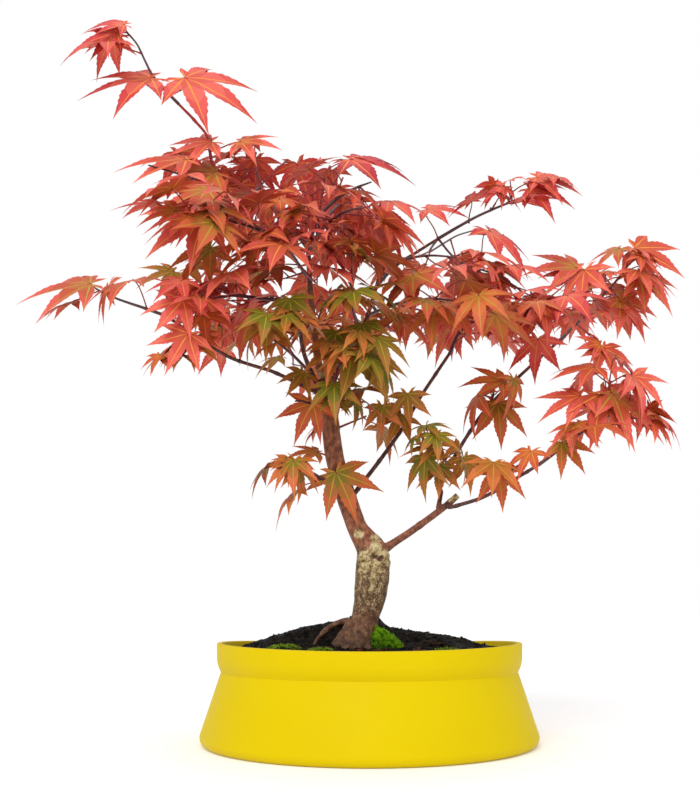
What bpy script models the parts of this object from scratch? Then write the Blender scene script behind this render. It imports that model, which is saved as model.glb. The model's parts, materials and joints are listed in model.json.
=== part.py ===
"""A Japanese maple bonsai in a round yellow pot.

Metres, +Z up.  The origin is the middle of the pot's flat underside, +Y points to the
back.  Sizes below are in millimetres and are turned to metres as they are used.

The pot and the soil are turned, and the trunk is lofted.  Every bough is a tapering tube
that starts on the side or on the tip of the limb that carries it.  Every mass of leaves
is a leading shoot that grows pairs of side shoots and leaves by one seeded rule, keeps to
the space round its own shoot, and is fused into one closed body.
"""
import math
import random
from dataclasses import dataclass

import bmesh
import bpy
import numpy
from mathutils import Matrix, Vector
from mathutils.bvhtree import BVHTree

MM = 0.001
UP = Vector((0.0, 0.0, 1.0))
GAP = 0.3

# Pot: a short lip, a waist below it, and a skirt that widens down to the table.
POT_HEIGHT = 56.3
POT_RIM_RADIUS = 85.0
POT_WAIST_RADIUS = 82.8
POT_BASE_RADIUS = 94.5
POT_LIP_DEPTH = 8.0
POT_WAIST_DEPTH = 16.0
POT_NECK_DEPTH = 12.8
POT_NECK_EASE = 0.8
POT_BASE_ROUNDING = 4.5
POT_WALL = 3.2
POT_FLOOR = 4.0
POT_RIM_ROUNDING = 0.8
POT_RIM_SAG = 1.4
POT_CORNER_ANGLES = (30, 60, 90)
POT_FOOT_EASE = 0.5
TURNED_STEPS = 32

# Soil: level with the ground in front of the trunk, heaped up behind it.
SOIL_EDGE_HEIGHT = 50.5
SOIL_FRONT_RISE = 1.5
SOIL_MOUND_RISE = 18.0
SOIL_STEP_Y = 4.0
SOIL_STEP_WIDTH = 5.0
SOIL_KNOLL = (-2.0, 14.0)
SOIL_KNOLL_RISE = 3.0
SOIL_KNOLL_RADIUS = 14.0
SOIL_RINGS = 8
SOIL_EDGE_EASE = 0.4
GROUND = 51.0

# Moss cushions: name, middle x and y, radius, height.
MOSS_PADS = (
    ("moss_clump", 12.0, -6.0, 7.5, 4.5),
    ("moss_left", -47.0, -14.0, 9.0, 1.8),
    ("moss_front", -26.0, -30.0, 6.0, 1.4),
    ("moss_right", 42.0, -24.0, 7.0, 1.5),
)
MOSS_RINGS = 2
MOSS_SIDES = 12
MOSS_SKIRT = 0.1

# Trunk: x, height and radius from the flat cut up to the pruned tip.
TRUNK_STATIONS = (
    (-7.6, GROUND, 10.6),
    (-4.6, 59.0, 9.0),
    (-2.3, 70.0, 7.6),
    (0.6, 85.0, 9.2),
    (2.0, 100.0, 9.4),
    (0.4, 109.5, 8.2),
    (-6.6, 120.0, 5.6),
    (-13.0, 138.0, 5.6),
    (-19.6, 160.0, 5.1),
    (-22.6, 184.0, 4.8),
    (-25.4, 203.6, 4.2),
)
TRUNK_SIDES = 12
TRUNK_STEPS = 2
ROOT_LOBES = 5
ROOT_LOBE_DEPTH = 0.16
ROOT_LOBE_HEIGHT = 9.0
ROOT_LOBE_TURN = 200.0
POCKET_CLEARANCE = 0.35

# Surface root: x and y along the soil, from the trunk outwards, and its two radii.
SURFACE_ROOT = ((-6.0, 2.0), (-16.0, 1.0), (-25.0, -4.0), (-31.0, -14.0))
SURFACE_ROOT_RADII = (2.0, 1.0)
SURFACE_ROOT_LIFT = 0.4

LIMB_FINENESS = 1
LIMB_STEPS = 2
LIMB_CLEARANCE = 0.6
SEAT_ROUNDS = 3

# Twigs: how thick they end, how far apart their pairs turn, and how wide they open.
TWIG_STEPS = 2
TWIG_TIP_RADIUS = 0.45
STEM_SHARE = 0.7
STEM_RADIUS_MAX = 1.1
PAIR_TURN = 90.0
PAIR_TURN_SPREAD = 20.0
PAIR_OPENING = (48.0, 72.0)
PAIR_SETBACK = 2.2
TIP_SETBACK = 0.8
END_PAIR_AIM = (0.7, 0.7)
END_PAIR_SIZE = 0.88
END_LEAF_SIZE = 0.75
SHOOT_SHARE = 0.8
SHOOT_REACH = (1.15, 0.5)
SHOOT_SPREAD = (0.8, 1.2)
SHOOT_LIFT = (-0.1, 0.2)
SHOOT_PAIR_AIM = (0.6, 0.8)
SHOOT_LEAF_SIZE = 0.72

# Leaves: lengths are shares of the leaf's middle lobe, angles are in degrees.
LEAF_SIZE_SPREAD = (0.86, 1.12)
LEAF_LIFT = (-0.25, 0.15)
LEAF_CURL = (0.10, 0.26)
HANG_SPREAD = 20.0
YAW_SPREAD = 30.0
ROLL_SPREAD = 25.0
STALK_LENGTH = (0.40, 0.75)
STALK_RADIUS = 0.36
STALK_TIP_RADIUS = 0.12
STALK_SINK = 0.12
STALK_RISE = 0.5
LEAF_THICKNESS = 0.024
LEAF_NOTCH = 0.12
LEAF_PALM = 0.2
LEAF_LOBES = ((0.0, 1.0), (40.0, 0.90), (84.0, 0.64))
LEAF_SINUSES = ((19.0, 0.38), (61.0, 0.34))

ROD_SIDES = 3
ROD_ROOT_SHARE = 0.3
SPACE_SHARED = 8.0
UPRIGHT = 0.05
RUST_HANG = 35

POT_YELLOW = (0.84, 0.63, 0.0)
SOIL_BLACK = (0.010, 0.008, 0.006)
MOSS_GREEN = (0.08, 0.26, 0.01)
BARK_BROWN = (0.13, 0.08, 0.055)
SHOOT_BROWN = (0.10, 0.045, 0.045)
LEAF_RED = (0.55, 0.05, 0.03)
LEAF_RUST = (0.34, 0.10, 0.02)


@dataclass(frozen=True)
class LimbPlan:
    """A bough: what carries it, the points it runs through, and its two radii."""

    name: str
    parent: str
    on_tip: bool
    points: tuple
    radii: tuple


@dataclass(frozen=True)
class MassPlan:
    """A mass of leaves: its bough, its leading shoot, and how that shoot is clothed."""

    name: str
    parent: str
    on_tip: bool
    points: tuple
    leaf: float
    pairs: int
    side: float
    hang: float
    bare: float = 0.3

    @property
    def seed(self) -> int:
        """The seed of its growth, which follows from its name."""
        return sum(ord(letter) for letter in self.name)


LIMBS = (
    LimbPlan("upper_leader", "trunk", True,
             ((-28, -1, 210), (-30, 0, 222), (-33, 2, 250), (-35, 6, 280)), (2.6, 1.7)),
    LimbPlan("inner_left_stem", "trunk", False,
             ((-31, -6, 204), (-37, -10, 219), (-39, -18, 241)), (1.7, 1.2)),
    LimbPlan("inner_right_stem", "trunk", False,
             ((-19, 2, 207), (-13, 4, 217), (-4, 8, 234), (4, 14, 261)), (2.0, 1.4)),
    LimbPlan("left_bough", "trunk", False,
             ((-32, -5, 197), (-54, -12, 206), (-78, -18, 213), (-108, -24, 232)), (1.4, 1.0)),
    LimbPlan("rising_shoot", "trunk", False,
             ((-5, 4, 145), (17, 14, 176), (29, 18, 197), (47, 26, 225)), (1.6, 1.2)),
    LimbPlan("right_bough", "trunk", False,
             ((15, -1, 113), (27, -3, 121), (42, -6, 132), (49, -8, 138)), (2.4, 2.1)),
    LimbPlan("low_right_shoot", "right_bough", False,
             ((44, -12, 131), (62, -17, 136), (80, -24, 146), (90, -28, 152)), (1.4, 1.1)),
    LimbPlan("far_right_shoot", "right_bough", False,
             ((40, -3, 140), (42, 1, 150), (64, 12, 186), (86, 18, 209), (112, 26, 233)),
             (1.5, 1.1)),
    LimbPlan("top_shoot", "upper_leader", False,
             ((-44, 2, 290), (-60, -1, 306), (-86, -6, 321), (-90, -9, 337), (-105, -12, 353)),
             (1.3, 0.9)),
    LimbPlan("upper_right_shoot", "inner_right_stem", True,
             ((7, 16, 268), (22, 19, 279), (40, 21, 291)), (1.3, 1.0)),
)

MASSES = (
    MassPlan("top_tip", "top_shoot", True,
             ((-119, -13, 368), (-127, -14, 384), (-133, -15, 391)), 27, 2, 0, 10, 0.42),
    MassPlan("upper_left_high", "top_shoot", False,
             ((-90, -14, 310), (-106, -28, 309), (-116, -38, 308)), 30, 2, 24, 14),
    MassPlan("upper_left_front", "upper_leader", False,
             ((-52, -28, 275), (-70, -52, 273), (-88, -72, 268)), 31, 3, 26, 20),
    MassPlan("upper_heart", "upper_leader", False,
             ((-39, -20, 263), (-43, -40, 264), (-47, -58, 261)), 31, 2, 22, 30),
    MassPlan("upper_crest", "top_shoot", False,
             ((-62, 10, 318), (-66, 22, 330), (-67, 34, 339)), 29, 2, 22, 14),
    MassPlan("upper_front", "upper_leader", False,
             ((-26, -22, 280), (-14, -48, 279), (-4, -70, 273)), 31, 2, 24, 28),
    MassPlan("upper_middle", "upper_leader", True,
             ((-28, 8, 300), (-14, 12, 314), (1, 16, 322)), 30, 3, 26, 15),
    MassPlan("right_upper_front", "inner_right_stem", False,
             ((17, -12, 266), (31, -34, 262), (44, -54, 254)), 29, 2, 24, 28),
    MassPlan("right_middle", "inner_right_stem", False,
             ((17, -14, 243), (36, -34, 239), (54, -50, 231)), 28, 2, 24, 35),
    MassPlan("right_rise", "rising_shoot", True,
             ((52, 26, 236), (62, 26, 245), (76, 30, 251)), 27, 2, 22, 28),
    MassPlan("right_top_inner", "far_right_shoot", False,
             ((101, 4, 238), (99, -16, 241), (94, -34, 239)), 31, 2, 22, 30),
    MassPlan("right_shoulder", "upper_right_shoot", False,
             ((52, 14, 275), (72, 8, 266), (85, 4, 256)), 27, 2, 22, 30),
    MassPlan("centre_upper", "inner_right_stem", False,
             ((-10, -14, 241), (-9, -36, 242), (-10, -54, 241)), 25, 2, 22, 45),
    MassPlan("centre_front", "trunk", False,
             ((-17, -18, 207), (-9, -32, 210), (-2, -46, 210)), 23, 2, 20, 50),
    MassPlan("centre_left", "inner_left_stem", False,
             ((-38, -32, 221), (-43, -48, 222), (-47, -62, 221)), 23, 2, 20, 45),
    MassPlan("left_inner", "inner_left_stem", True,
             ((-56, -38, 238), (-71, -56, 234), (-84, -68, 227)), 29, 2, 24, 22),
    MassPlan("left_outer", "left_bough", False,
             ((-87, -32, 215), (-94, -40, 213), (-102, -46, 212)), 23, 2, 18, 45),
    MassPlan("far_left", "left_bough", True,
             ((-122, -26, 237), (-135, -28, 241), (-146, -29, 246)), 28, 2, 0, 12),
    MassPlan("upper_right_tip", "upper_right_shoot", True,
             ((62, 19, 303), (83, 16, 311), (101, 14, 318)), 21, 2, 0, 8),
    MassPlan("right_top", "far_right_shoot", True,
             ((130, 25, 251), (141, 22, 263), (149, 20, 271)), 24, 3, 20, 20),
    MassPlan("right_low", "low_right_shoot", True,
             ((108, -32, 165), (122, -34, 175), (137, -36, 181)), 26, 3, 22, 35),
    MassPlan("right_low_inner", "low_right_shoot", False,
             ((72, -28, 145), (77, -34, 150), (82, -38, 152)), 21, 1, 0, 60),
    MassPlan("right_shoot_leaves", "far_right_shoot", False,
             ((70, 2, 197), (71, -3, 201), (74, -7, 204)), 21, 1, 0, 70),
    MassPlan("low_centre", "far_right_shoot", False,
             ((41, -10, 160), (39, -16, 165), (36, -21, 169)), 20, 1, 0, 65),
    MassPlan("rising_leaves", "rising_shoot", False,
             ((18, 8, 185), (17, 2, 188), (15, -3, 190)), 20, 0, 0, 65),
    MassPlan("lower_left", "trunk", False,
             ((-26, -10, 147), (-34, -18, 151), (-42, -26, 153)), 21, 1, 0, 50),
    MassPlan("trunk_side", "trunk", False,
             ((-33, -14, 188), (-37, -20, 188), (-40, -24, 187)), 18, 0, 0, 70),
    MassPlan("upper_left_back", "upper_leader", False,
             ((-61, 35, 300), (-86, 62, 321), (-110, 84, 335)), 30, 2, 26, 22),
    MassPlan("upper_back", "upper_leader", False,
             ((-25, 40, 312), (-15, 68, 333), (-6, 92, 346)), 30, 2, 24, 22),
    MassPlan("right_back", "upper_right_shoot", False,
             ((37, 48, 293), (55, 74, 312), (73, 96, 325)), 29, 2, 26, 22),
    MassPlan("back_middle", "inner_left_stem", False,
             ((-35, 26, 242), (-33, 58, 266), (-31, 86, 281)), 27, 2, 24, 35),
    MassPlan("left_back", "trunk", False,
             ((-47, 26, 226), (-70, 50, 246), (-95, 72, 259)), 26, 2, 24, 35),
    MassPlan("back_right", "inner_right_stem", False,
             ((15, 34, 241), (35, 60, 258), (55, 84, 269)), 27, 2, 24, 35),
    MassPlan("lower_back", "trunk", False,
             ((-18, 16, 178), (-20, 30, 192), (-24, 44, 200)), 23, 2, 18, 45),
)


@dataclass
class Limb:
    """A finished limb's middle line in millimetres, with the radius at each point."""

    points: list
    radii: list

    def nearest(self, place):
        """Nearest point of the middle line to a place, with its direction and radius."""
        best = None
        for index in range(len(self.points) - 1):
            start = self.points[index]
            run = self.points[index + 1] - start
            share = max(0.0, min(1.0, (place - start).dot(run) / run.length_squared))
            found = start + run * share
            radius = self.radii[index] * (1 - share) + self.radii[index + 1] * share
            if best is None or (place - found).length < best[0]:
                best = ((place - found).length, found, run.normalized(), radius)
        return best[1:]

    def clearance(self, place):
        """How far a place lies outside the limb's bark."""
        found, _, radius = self.nearest(place)
        return (place - found).length - radius


@dataclass
class Twig:
    """A leading or side shoot: its points and radii, and whether it is kept."""

    points: list
    radii: list
    kept: bool = True


@dataclass
class Leaf:
    """A leaf on its stalk: where it leaves its twig, and the frame of its blade."""

    twig: Twig
    root: Vector
    joint: Vector
    heading: Vector
    side: Vector
    normal: Vector
    size: float
    curl: float

    def outline(self, grow=0.0):
        """Points round the blade: a tip on each lobe and a low point between lobes."""
        size = self.size + grow
        return [
            self.joint + size * (u * self.heading + v * self.side
                                 - self.curl * (u * u + v * v) * self.normal)
            for u, v in leaf_outline()
        ]


def leaf_outline():
    """Blade outline for a middle lobe of length 1, counter-clockwise from its tip."""
    half = []
    for index, lobe in enumerate(LEAF_LOBES):
        half.append(lobe)
        if index < len(LEAF_SINUSES):
            half.append(LEAF_SINUSES[index])
    mirrored = [(-angle, reach) for angle, reach in reversed(half[1:])]
    ring = half + [(180.0, LEAF_NOTCH)] + mirrored
    return [
        (reach * math.cos(math.radians(angle)), reach * math.sin(math.radians(angle)))
        for angle, reach in ring
    ]


# Scene helpers ------------------------------------------------------------------------


def clear_scene():
    """Remove every object of the scene."""
    for thing in list(bpy.data.objects):
        bpy.data.objects.remove(thing, do_unlink=True)


def make_collection(name):
    """A new collection in the scene."""
    collection = bpy.data.collections.new(name)
    bpy.context.scene.collection.children.link(collection)
    return collection


def make_material(name, colour, roughness):
    """A non-metallic Principled material."""
    material = bpy.data.materials.new(name)
    material.use_nodes = True
    shader = material.node_tree.nodes["Principled BSDF"]
    shader.inputs["Base Color"].default_value = (*colour, 1.0)
    shader.inputs["Roughness"].default_value = roughness
    shader.inputs["Metallic"].default_value = 0.0
    return material


def link_mesh(name, mesh, collection, material=None):
    """An object for a mesh, in a collection, with its material."""
    thing = bpy.data.objects.new(name, mesh)
    collection.objects.link(thing)
    if material:
        mesh.materials.clear()
        mesh.materials.append(material)
    return thing


def evaluated_mesh(thing):
    """The object's mesh with its modifiers worked out, welded and in world space."""
    bpy.context.view_layer.update()
    depsgraph = bpy.context.evaluated_depsgraph_get()
    mesh = bpy.data.meshes.new_from_object(thing.evaluated_get(depsgraph))
    work = bmesh.new()
    work.from_mesh(mesh)
    bmesh.ops.remove_doubles(work, verts=work.verts, dist=1e-7)
    work.to_mesh(mesh)
    work.free()
    mesh.transform(thing.matrix_world)
    return mesh


def hide_cutter(thing):
    """Mark an object as a cutter: drawn as wire, and never rendered."""
    thing.hide_render = True
    thing.display_type = "WIRE"


def cut_mesh(name, mesh, cutters):
    """The mesh less its cutters' shapes, without the crumbs that the cuts leave."""
    blank = link_mesh(name, mesh, bpy.context.scene.collection)
    for cutter in cutters:
        hide_cutter(cutter)
        cut = blank.modifiers.new("Cut", "BOOLEAN")
        cut.operation = "DIFFERENCE"
        cut.solver = "EXACT"
        cut.object = cutter
    whole = evaluated_mesh(blank)
    bpy.data.objects.remove(blank)
    keep_largest_shell(whole)
    return whole


# Curves and tubes ---------------------------------------------------------------------


def smooth_path(points, steps):
    """A Catmull-Rom curve through the points, with a few steps in each span."""
    ends = [2 * points[0] - points[1], *points, 2 * points[-1] - points[-2]]
    path = []
    for index in range(len(points) - 1):
        a, b, c, d = ends[index:index + 4]
        for step in range(steps):
            t = step / steps
            path.append(0.5 * ((2 * b) + (c - a) * t + (2 * a - 5 * b + 4 * c - d) * t * t
                               + (3 * b - a - 3 * c + d) * t ** 3))
    path.append(points[-1])
    return path


def arc_shares(path):
    """How far along the path each of its points lies, from 0 to 1."""
    lengths = [0.0]
    for start, end in zip(path, path[1:]):
        lengths.append(lengths[-1] + (end - start).length)
    return [length / lengths[-1] for length in lengths]


def point_at(path, share):
    """The place and the direction at a share of the path's length."""
    shares = arc_shares(path)
    for index in range(len(path) - 1):
        if share <= shares[index + 1]:
            part = (share - shares[index]) / (shares[index + 1] - shares[index])
            run = path[index + 1] - path[index]
            return path[index] + run * part, run.normalized()
    return path[-1], (path[-1] - path[-2]).normalized()


def tapered(path, start_radius, end_radius):
    """A radius for each point of the path, falling evenly along it."""
    return [start_radius + (end_radius - start_radius) * share for share in arc_shares(path)]


def tube_mesh(name, points, radii, fineness, grow=0.0):
    """A closed tube along points in millimetres, as a mesh in metres."""
    curve = bpy.data.curves.new(name, "CURVE")
    curve.dimensions = "3D"
    curve.bevel_depth = 1.0
    curve.bevel_resolution = fineness
    curve.use_fill_caps = True
    spline = curve.splines.new("POLY")
    spline.points.add(len(points) - 1)
    for spot, place, radius in zip(spline.points, points, radii):
        spot.co = (*(place * MM), 1.0)
        spot.radius = (radius + grow) * MM
    holder = bpy.data.objects.new(name, curve)
    bpy.context.scene.collection.objects.link(holder)
    mesh = evaluated_mesh(holder)
    bpy.data.objects.remove(holder)
    bpy.data.curves.remove(curve)
    return mesh


# Pot, soil and moss -------------------------------------------------------------------


def pot_wall_profile(inset):
    """Radius and height down the pot's wall, from the rim to the foot, set in evenly."""
    lip = [
        (POT_RIM_RADIUS, POT_HEIGHT - POT_RIM_ROUNDING),
        (POT_RIM_RADIUS, POT_HEIGHT - POT_LIP_DEPTH),
        (POT_WAIST_RADIUS + POT_NECK_EASE, POT_HEIGHT - POT_NECK_DEPTH),
        (POT_WAIST_RADIUS, POT_HEIGHT - POT_WAIST_DEPTH),
        (POT_BASE_RADIUS, POT_BASE_ROUNDING),
    ]
    return [(radius - inset, height) for radius, height in lip]


def turned_mesh(name, profile):
    """A profile of radius and height turned round the Z axis, as a mesh in metres."""
    mesh = bpy.data.meshes.new(name)
    edges = [(index, index + 1) for index in range(len(profile) - 1)]
    mesh.from_pydata([(radius * MM, 0.0, height * MM) for radius, height in profile], edges, [])
    holder = bpy.data.objects.new(name, mesh)
    bpy.context.scene.collection.objects.link(holder)
    screw = holder.modifiers.new("Turn", "SCREW")
    screw.steps = TURNED_STEPS
    screw.render_steps = TURNED_STEPS
    screw.use_merge_vertices = True
    screw.merge_threshold = 0.00001
    turned = evaluated_mesh(holder)
    bpy.data.objects.remove(holder)
    return turned


def make_pot(collection, material):
    """The pot: a turned shell whose rim dips a little at the front and the back."""
    outer = pot_wall_profile(0.0)
    inner = pot_wall_profile(POT_WALL)
    rim = [
        (POT_RIM_RADIUS - POT_WALL + POT_RIM_ROUNDING, POT_HEIGHT),
        (POT_RIM_RADIUS - POT_RIM_ROUNDING, POT_HEIGHT),
    ]
    corner = [
        (POT_BASE_RADIUS - POT_BASE_ROUNDING * (1 - math.cos(math.radians(angle))),
         POT_BASE_ROUNDING * (1 - math.sin(math.radians(angle))))
        for angle in POT_CORNER_ANGLES
    ]
    cavity = [(0.0, POT_FLOOR), (POT_BASE_RADIUS - POT_WALL - POT_FOOT_EASE, POT_FLOOR)]
    profile = cavity + inner[::-1] + rim + outer + corner + [(0.0, 0.0)]
    mesh = turned_mesh("pot", profile)
    waist = (POT_HEIGHT - POT_WAIST_DEPTH) * MM
    for vertex in mesh.vertices:
        lift = max(0.0, (vertex.co.z - waist) / (POT_HEIGHT * MM - waist))
        across = vertex.co.y / max(vertex.co.xy.length, MM)
        vertex.co.z -= POT_RIM_SAG * MM * lift * across * across
    mesh.shade_smooth()
    mesh.set_sharp_from_angle(angle=math.radians(40))
    return link_mesh("pot", mesh, collection, material)


def soil_edge_radius():
    """Radius of the soil at its top, just inside the pot's wall."""
    return POT_RIM_RADIUS - POT_WALL - GAP - SOIL_EDGE_EASE


def soil_height(x, y):
    """Height of the soil's surface: low in front, a mound that peaks behind the trunk."""
    edge = 1.0 - (x * x + y * y) / soil_edge_radius() ** 2
    behind = 1.0 / (1.0 + math.exp(-(y - SOIL_STEP_Y) / SOIL_STEP_WIDTH))
    away = math.hypot(x - SOIL_KNOLL[0], y - SOIL_KNOLL[1]) / SOIL_KNOLL_RADIUS
    knoll = SOIL_KNOLL_RISE * math.exp(-away * away)
    rise = SOIL_FRONT_RISE + SOIL_MOUND_RISE * behind + knoll
    return SOIL_EDGE_HEIGHT + max(0.0, edge) * rise


def make_soil(collection, material, cutters):
    """The soil: it fills the pot, and its top is cut to the foot of the trunk."""
    radius = soil_edge_radius()
    top = [(radius * ring / SOIL_RINGS, SOIL_EDGE_HEIGHT) for ring in range(SOIL_RINGS + 1)]
    wall = pot_wall_profile(POT_WALL + GAP)[3:]
    foot_radius = POT_BASE_RADIUS - POT_WALL - POT_FOOT_EASE - GAP
    foot = [(foot_radius, POT_FLOOR + GAP), (0.0, POT_FLOOR + GAP)]
    mesh = turned_mesh("soil", top + wall + foot)
    for vertex in mesh.vertices:
        if vertex.co.z > (SOIL_EDGE_HEIGHT - 0.01) * MM:
            vertex.co.z = soil_height(vertex.co.x / MM, vertex.co.y / MM) * MM
    return link_mesh("soil", cut_mesh("soil", mesh, cutters), collection, material)


def make_moss(name, middle, radius, height, collection, material, cutters):
    """A cushion of moss that lies on the soil and keeps clear of the trunk."""
    work = bmesh.new()
    bmesh.ops.create_uvsphere(work, u_segments=MOSS_SIDES, v_segments=2 * MOSS_RINGS, radius=1.0)
    for vertex in work.verts:
        across = math.hypot(vertex.co.x, vertex.co.y)
        x = middle[0] + radius * vertex.co.x
        y = middle[1] + radius * vertex.co.y
        rise = max(0.0, vertex.co.z) * height + MOSS_SKIRT * (1.0 - across)
        vertex.co = Vector((x, y, soil_height(x, y) + 2 * GAP + rise)) * MM
    mesh = cut_mesh(name, form_to_mesh(name, work), cutters)
    return link_mesh(name, mesh, collection, material)


# Trunk and boughs ---------------------------------------------------------------------


def trunk_line():
    """The trunk's middle line and radii, smoothed between its stations."""
    marks = [Vector((x, radius, height)) for x, height, radius in TRUNK_STATIONS]
    path = smooth_path(marks, TRUNK_STEPS)
    return Limb([Vector((mark.x, 0.0, mark.z)) for mark in path], [mark.y for mark in path])


def trunk_mesh(name, trunk, grow):
    """The trunk as a loft of rings, with root lobes at its foot."""
    work = bmesh.new()
    rings = []
    last = len(trunk.points) - 1
    for index, (middle, radius) in enumerate(zip(trunk.points, trunk.radii)):
        ahead = trunk.points[min(index + 1, last)]
        behind = trunk.points[max(index - 1, 0)]
        along = UP if index == 0 else (ahead - behind).normalized()
        across = Vector((0.0, 1.0, 0.0)).cross(along).normalized()
        away = along.cross(across)
        flare = ROOT_LOBE_DEPTH * max(0.0, 1 - (middle.z - GROUND) / ROOT_LOBE_HEIGHT)
        drop = GAP if grow and index == 0 else 0.0
        ring = []
        for side in range(TRUNK_SIDES):
            angle = 2 * math.pi * side / TRUNK_SIDES
            lobe = math.cos(ROOT_LOBES * (angle - math.radians(ROOT_LOBE_TURN)))
            reach = radius * (1 + flare * lobe) + grow
            place = middle + reach * (math.cos(angle) * across + math.sin(angle) * away)
            ring.append(work.verts.new((place - UP * drop) * MM))
        rings.append(ring)
    for low, high in zip(rings, rings[1:]):
        for side in range(TRUNK_SIDES):
            other = (side + 1) % TRUNK_SIDES
            work.faces.new((low[side], low[other], high[other]))
            work.faces.new((low[side], high[other], high[side]))
    work.faces.new(rings[0][::-1])
    work.faces.new(rings[-1])
    mesh = bpy.data.meshes.new(name)
    bmesh.ops.recalc_face_normals(work, faces=work.faces)
    work.to_mesh(mesh)
    work.free()
    return mesh


def surface_root_line():
    """The root that runs over the soil from the trunk's left side."""
    flat = smooth_path([Vector((x, y, 0.0)) for x, y in SURFACE_ROOT], TWIG_STEPS)
    radii = tapered(flat, *SURFACE_ROOT_RADII)
    points = [
        Vector((spot.x, spot.y, soil_height(spot.x, spot.y) + SURFACE_ROOT_LIFT * radius))
        for spot, radius in zip(flat, radii)
    ]
    return Limb(points, radii)


def seat(limb, on_tip, toward, width):
    """Where a branch starts on a limb, 0.3 mm clear of it, and which way it leaves."""
    if on_tip:
        leaving = (limb.points[-1] - limb.points[-2]).normalized()
        return limb.points[-1] + leaving * GAP, leaving
    place, along, radius = limb.nearest(toward)
    out = toward - place
    leaving = (out - along * out.dot(along)).normalized()
    foot = place + leaving * (radius + GAP)
    for _ in range(SEAT_ROUNDS):
        edges = (foot - along * width, foot + along * width)
        foot += leaving * max(0.0, GAP - min(limb.clearance(edge) for edge in edges))
    return foot, leaving


def branch_path(limb, on_tip, points, radius, steps):
    """A smooth path from its seat on a limb through the given points."""
    marks = [Vector(point) for point in points]
    foot, leaving = seat(limb, on_tip, marks[0], radius)
    collar = foot + leaving * max(radius, 1.0)
    return [foot, *smooth_path([collar, *marks], steps)]


def grow_limbs(trunk):
    """Every limb's middle line and radii, by name."""
    limbs = {"trunk": trunk}
    for plan in LIMBS:
        path = branch_path(limbs[plan.parent], plan.on_tip, plan.points, plan.radii[0],
                           LIMB_STEPS)
        limbs[plan.name] = Limb(path, tapered(path, *plan.radii))
    return limbs


# Leaf masses --------------------------------------------------------------------------


def spread(rng, width):
    """A seeded draw between minus and plus a width."""
    return rng.uniform(-width, width)


def unit_or(vector, fallback):
    """The vector at length 1, or a fallback where it is close to nothing."""
    return vector.normalized() if vector.length > UPRIGHT else Vector(fallback)


def frame_round(along, roll):
    """A direction square to a shoot, turned round it by an angle in degrees."""
    level = unit_or(along.cross(UP), (1.0, 0.0, 0.0))
    upright = level.cross(along)
    angle = math.radians(roll)
    return math.cos(angle) * level + math.sin(angle) * upright


def plan_leaf(rng, mass, twig, root, leaving, share):
    """One leaf: a stalk that leaves the twig, and a blade that hangs from it."""
    size = mass.leaf * share * rng.uniform(*LEAF_SIZE_SPREAD)
    stalk = size * rng.uniform(*STALK_LENGTH)
    lift = rng.uniform(*LEAF_LIFT)
    hang = math.radians(mass.hang + spread(rng, HANG_SPREAD))
    yaw = math.radians(spread(rng, YAW_SPREAD))
    roll = math.radians(spread(rng, ROLL_SPREAD))
    curl = rng.uniform(*LEAF_CURL)
    aim = Vector((leaving.x, leaving.y, STALK_RISE * leaving.z + lift)).normalized()
    level = unit_or(Vector((aim.x, aim.y, 0.0)), (0.0, -1.0, 0.0))
    level = Matrix.Rotation(yaw, 3, "Z") @ level
    heading = math.cos(hang) * level - math.sin(hang) * UP
    side = Matrix.Rotation(roll, 3, heading) @ UP.cross(level)
    normal = heading.cross(side)
    return Leaf(twig, root, root + aim * stalk, heading, side, normal, size, curl)


def end_leaves(rng, mass, twig, tip, along, roll, pair_aim, last_size):
    """The pair of leaves close to a shoot's tip, and the smaller leaf at the tip."""
    leaves = []
    pair_root = tip - along * PAIR_SETBACK
    for half in (0.0, 180.0):
        out = frame_round(along, roll + half)
        aim = (pair_aim[0] * along + pair_aim[1] * out).normalized()
        leaves.append(plan_leaf(rng, mass, twig, pair_root, aim, END_PAIR_SIZE))
    leaves.append(plan_leaf(rng, mass, twig, tip - along * TIP_SETBACK, along, last_size))
    return leaves


def plan_side_shoot(rng, mass, root, leaving, radius, reach):
    """A side shoot with a pair of leaves and a smaller one at its tip."""
    length = reach * rng.uniform(*SHOOT_SPREAD)
    roll = rng.uniform(0.0, 180.0)
    along = (leaving + UP * rng.uniform(*SHOOT_LIFT)).normalized()
    tip = root + along * length
    twig = Twig([root, tip], [radius, TWIG_TIP_RADIUS])
    leaves = end_leaves(rng, mass, twig, tip, along, roll, SHOOT_PAIR_AIM, SHOOT_LEAF_SIZE)
    return twig, leaves


def plan_mass(mass, path, radius):
    """All twigs and leaves of a mass, before any is left out."""
    rng = random.Random(mass.seed)
    leader = Twig(path, tapered(path, radius, TWIG_TIP_RADIUS))
    twigs = [leader]
    leaves = []
    roll = rng.uniform(0.0, 180.0)
    for pair in range(mass.pairs):
        share = mass.bare + (1.0 - mass.bare) * pair / mass.pairs
        place, along = point_at(path, share)
        thickness = radius + (TWIG_TIP_RADIUS - radius) * share
        turn = roll + PAIR_TURN * pair + spread(rng, PAIR_TURN_SPREAD)
        for half in (0.0, 180.0):
            opening = math.radians(rng.uniform(*PAIR_OPENING))
            out = frame_round(along, turn + half)
            leaving = (math.cos(opening) * along + math.sin(opening) * out).normalized()
            if mass.side and pair % 2 == 0:
                reach = mass.side * (SHOOT_REACH[0] - SHOOT_REACH[1] * share)
                twig, more = plan_side_shoot(rng, mass, place, leaving,
                                             SHOOT_SHARE * thickness, reach)
                twigs.append(twig)
                leaves.extend(more)
            else:
                leaves.append(plan_leaf(rng, mass, leader, place, leaving, 1.0))
    tip, along = point_at(path, 1.0)
    turn = roll + PAIR_TURN * mass.pairs
    leaves.extend(end_leaves(rng, mass, leader, tip, along, turn, END_PAIR_AIM, END_LEAF_SIZE))
    return twigs, leaves


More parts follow.
